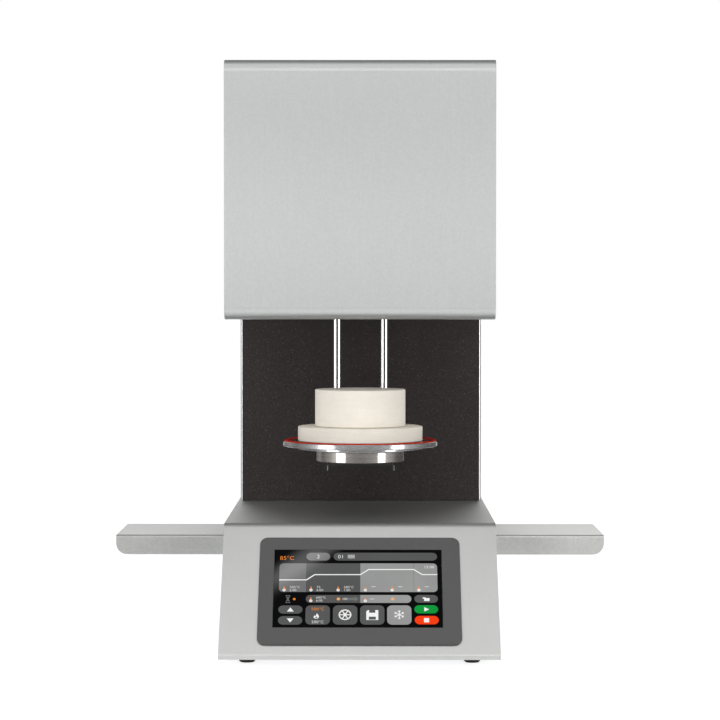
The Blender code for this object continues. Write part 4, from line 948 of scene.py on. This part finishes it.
def backdrop_material():
    """The room's wall, which only glows."""
    material, tree, shader = new_material(
        "backdrop_white", Base_Color=(0.0, 0.0, 0.0), Roughness=0.9, Specular_IOR_Level=0.0
    )
    room_glow(tree, shader, 0.0)
    return material


def studio_piece(name, points, faces, material):
    """A mesh of the studio, which isn't part of the object."""
    mesh = bpy.data.meshes.new(name)
    mesh.from_pydata(points, [], faces)
    mesh.materials.append(material)
    new_object(name, mesh)


def build_room():
    """The floor and the wall round it."""
    floor_points, wall_points = 64, 96
    floor = [(x, y, 0) for x, y in circle(floor_radius, floor_points)]
    studio_piece("floor", floor, [tuple(range(floor_points))], floor_material())
    outline = circle(backdrop_radius, wall_points)
    wall = [(x, y, z) for z in (backdrop_foot, backdrop_top) for x, y in outline]
    studio_piece("backdrop", wall, walls(wall_points), backdrop_material())


def light_air():
    """A dim world, darker behind the object than at its front and sides."""
    bright, dim = 0.55, 0.22
    behind_from, behind_to = 0.15, 0.55
    world = bpy.data.worlds.new("studio_air")
    scene.world = world
    world.use_nodes = True
    air = world.node_tree
    backward = split(air, add(air, "TexCoord").outputs["Generated"])[1]
    strength = spread(air, backward, behind_from, behind_to, bright, dim)
    wire(air, air.nodes["Background"], Color=(1, 1, 1), Strength=strength)


def softbox(name, place, target, width, height, power):
    """A flat lamp that the camera doesn't see."""
    light = bpy.data.lights.new(name, "AREA")
    light.shape = "RECTANGLE"
    light.size = width
    light.size_y = height
    light.energy = power
    item = new_object(name, light)
    item.location = place
    item.rotation_euler = (Vector(target) - Vector(place)).to_track_quat("-Z", "Y").to_euler()
    item.visible_camera = False
    return item


def round_the_table(angle, distance, height):
    """A place by its compass angle from the front."""
    return distance * math.sin(math.radians(angle)), -distance * math.cos(math.radians(angle)), height


def light_studio():
    """Two keys at the sides, two lamps above and a fill that metal doesn't mirror."""
    key_distance, key_height = 2.4, 0.37
    left = round_the_table(-50, key_distance, key_height)
    right = round_the_table(56, key_distance, key_height)
    middle = (0, 0, 0.25)
    softbox("key_left", left, middle, width=1.05, height=0.70, power=14.0)
    softbox("key_right", right, middle, width=0.85, height=0.70, power=13.8)
    softbox("front_high", (0, -1.9, 1.5), (0, 0, 0.4), width=3.0, height=0.8, power=12.2)
    softbox("overhead", (0, -0.9, 2.0), (0, -0.8, 0), width=2.2, height=1.3, power=8.2)
    fill = softbox("fill", (0, -2.6, 0.9), middle, width=1.8, height=1.2, power=4.0)
    fill.visible_glossy = False


build_room()
light_air()
light_studio()

# Camera, fitted to the photograph
photo_width = 720
focal_length_in_pixels = 2391.8
sensor_width = 36
camera_place = (0.00776, -2.36089, 0.33252)
camera_pan, camera_tilt_down, camera_roll = 0.1974, 1.4970, 0.0235


def turned(degrees, axis):
    """A rotation about an axis."""
    return Matrix.Rotation(math.radians(degrees), 4, axis)


camera = new_object("camera", bpy.data.cameras.new("camera"))
camera.data.sensor_width = sensor_width
camera.data.lens = focal_length_in_pixels / photo_width * sensor_width
camera.data.clip_end = 60
camera.location = camera_place
look = turned(camera_pan, "Z") @ turned(90 - camera_tilt_down, "X") @ turned(camera_roll, "Z")
camera.rotation_euler = look.to_euler()
scene.camera = camera
scene.view_settings.view_transform = "Standard"
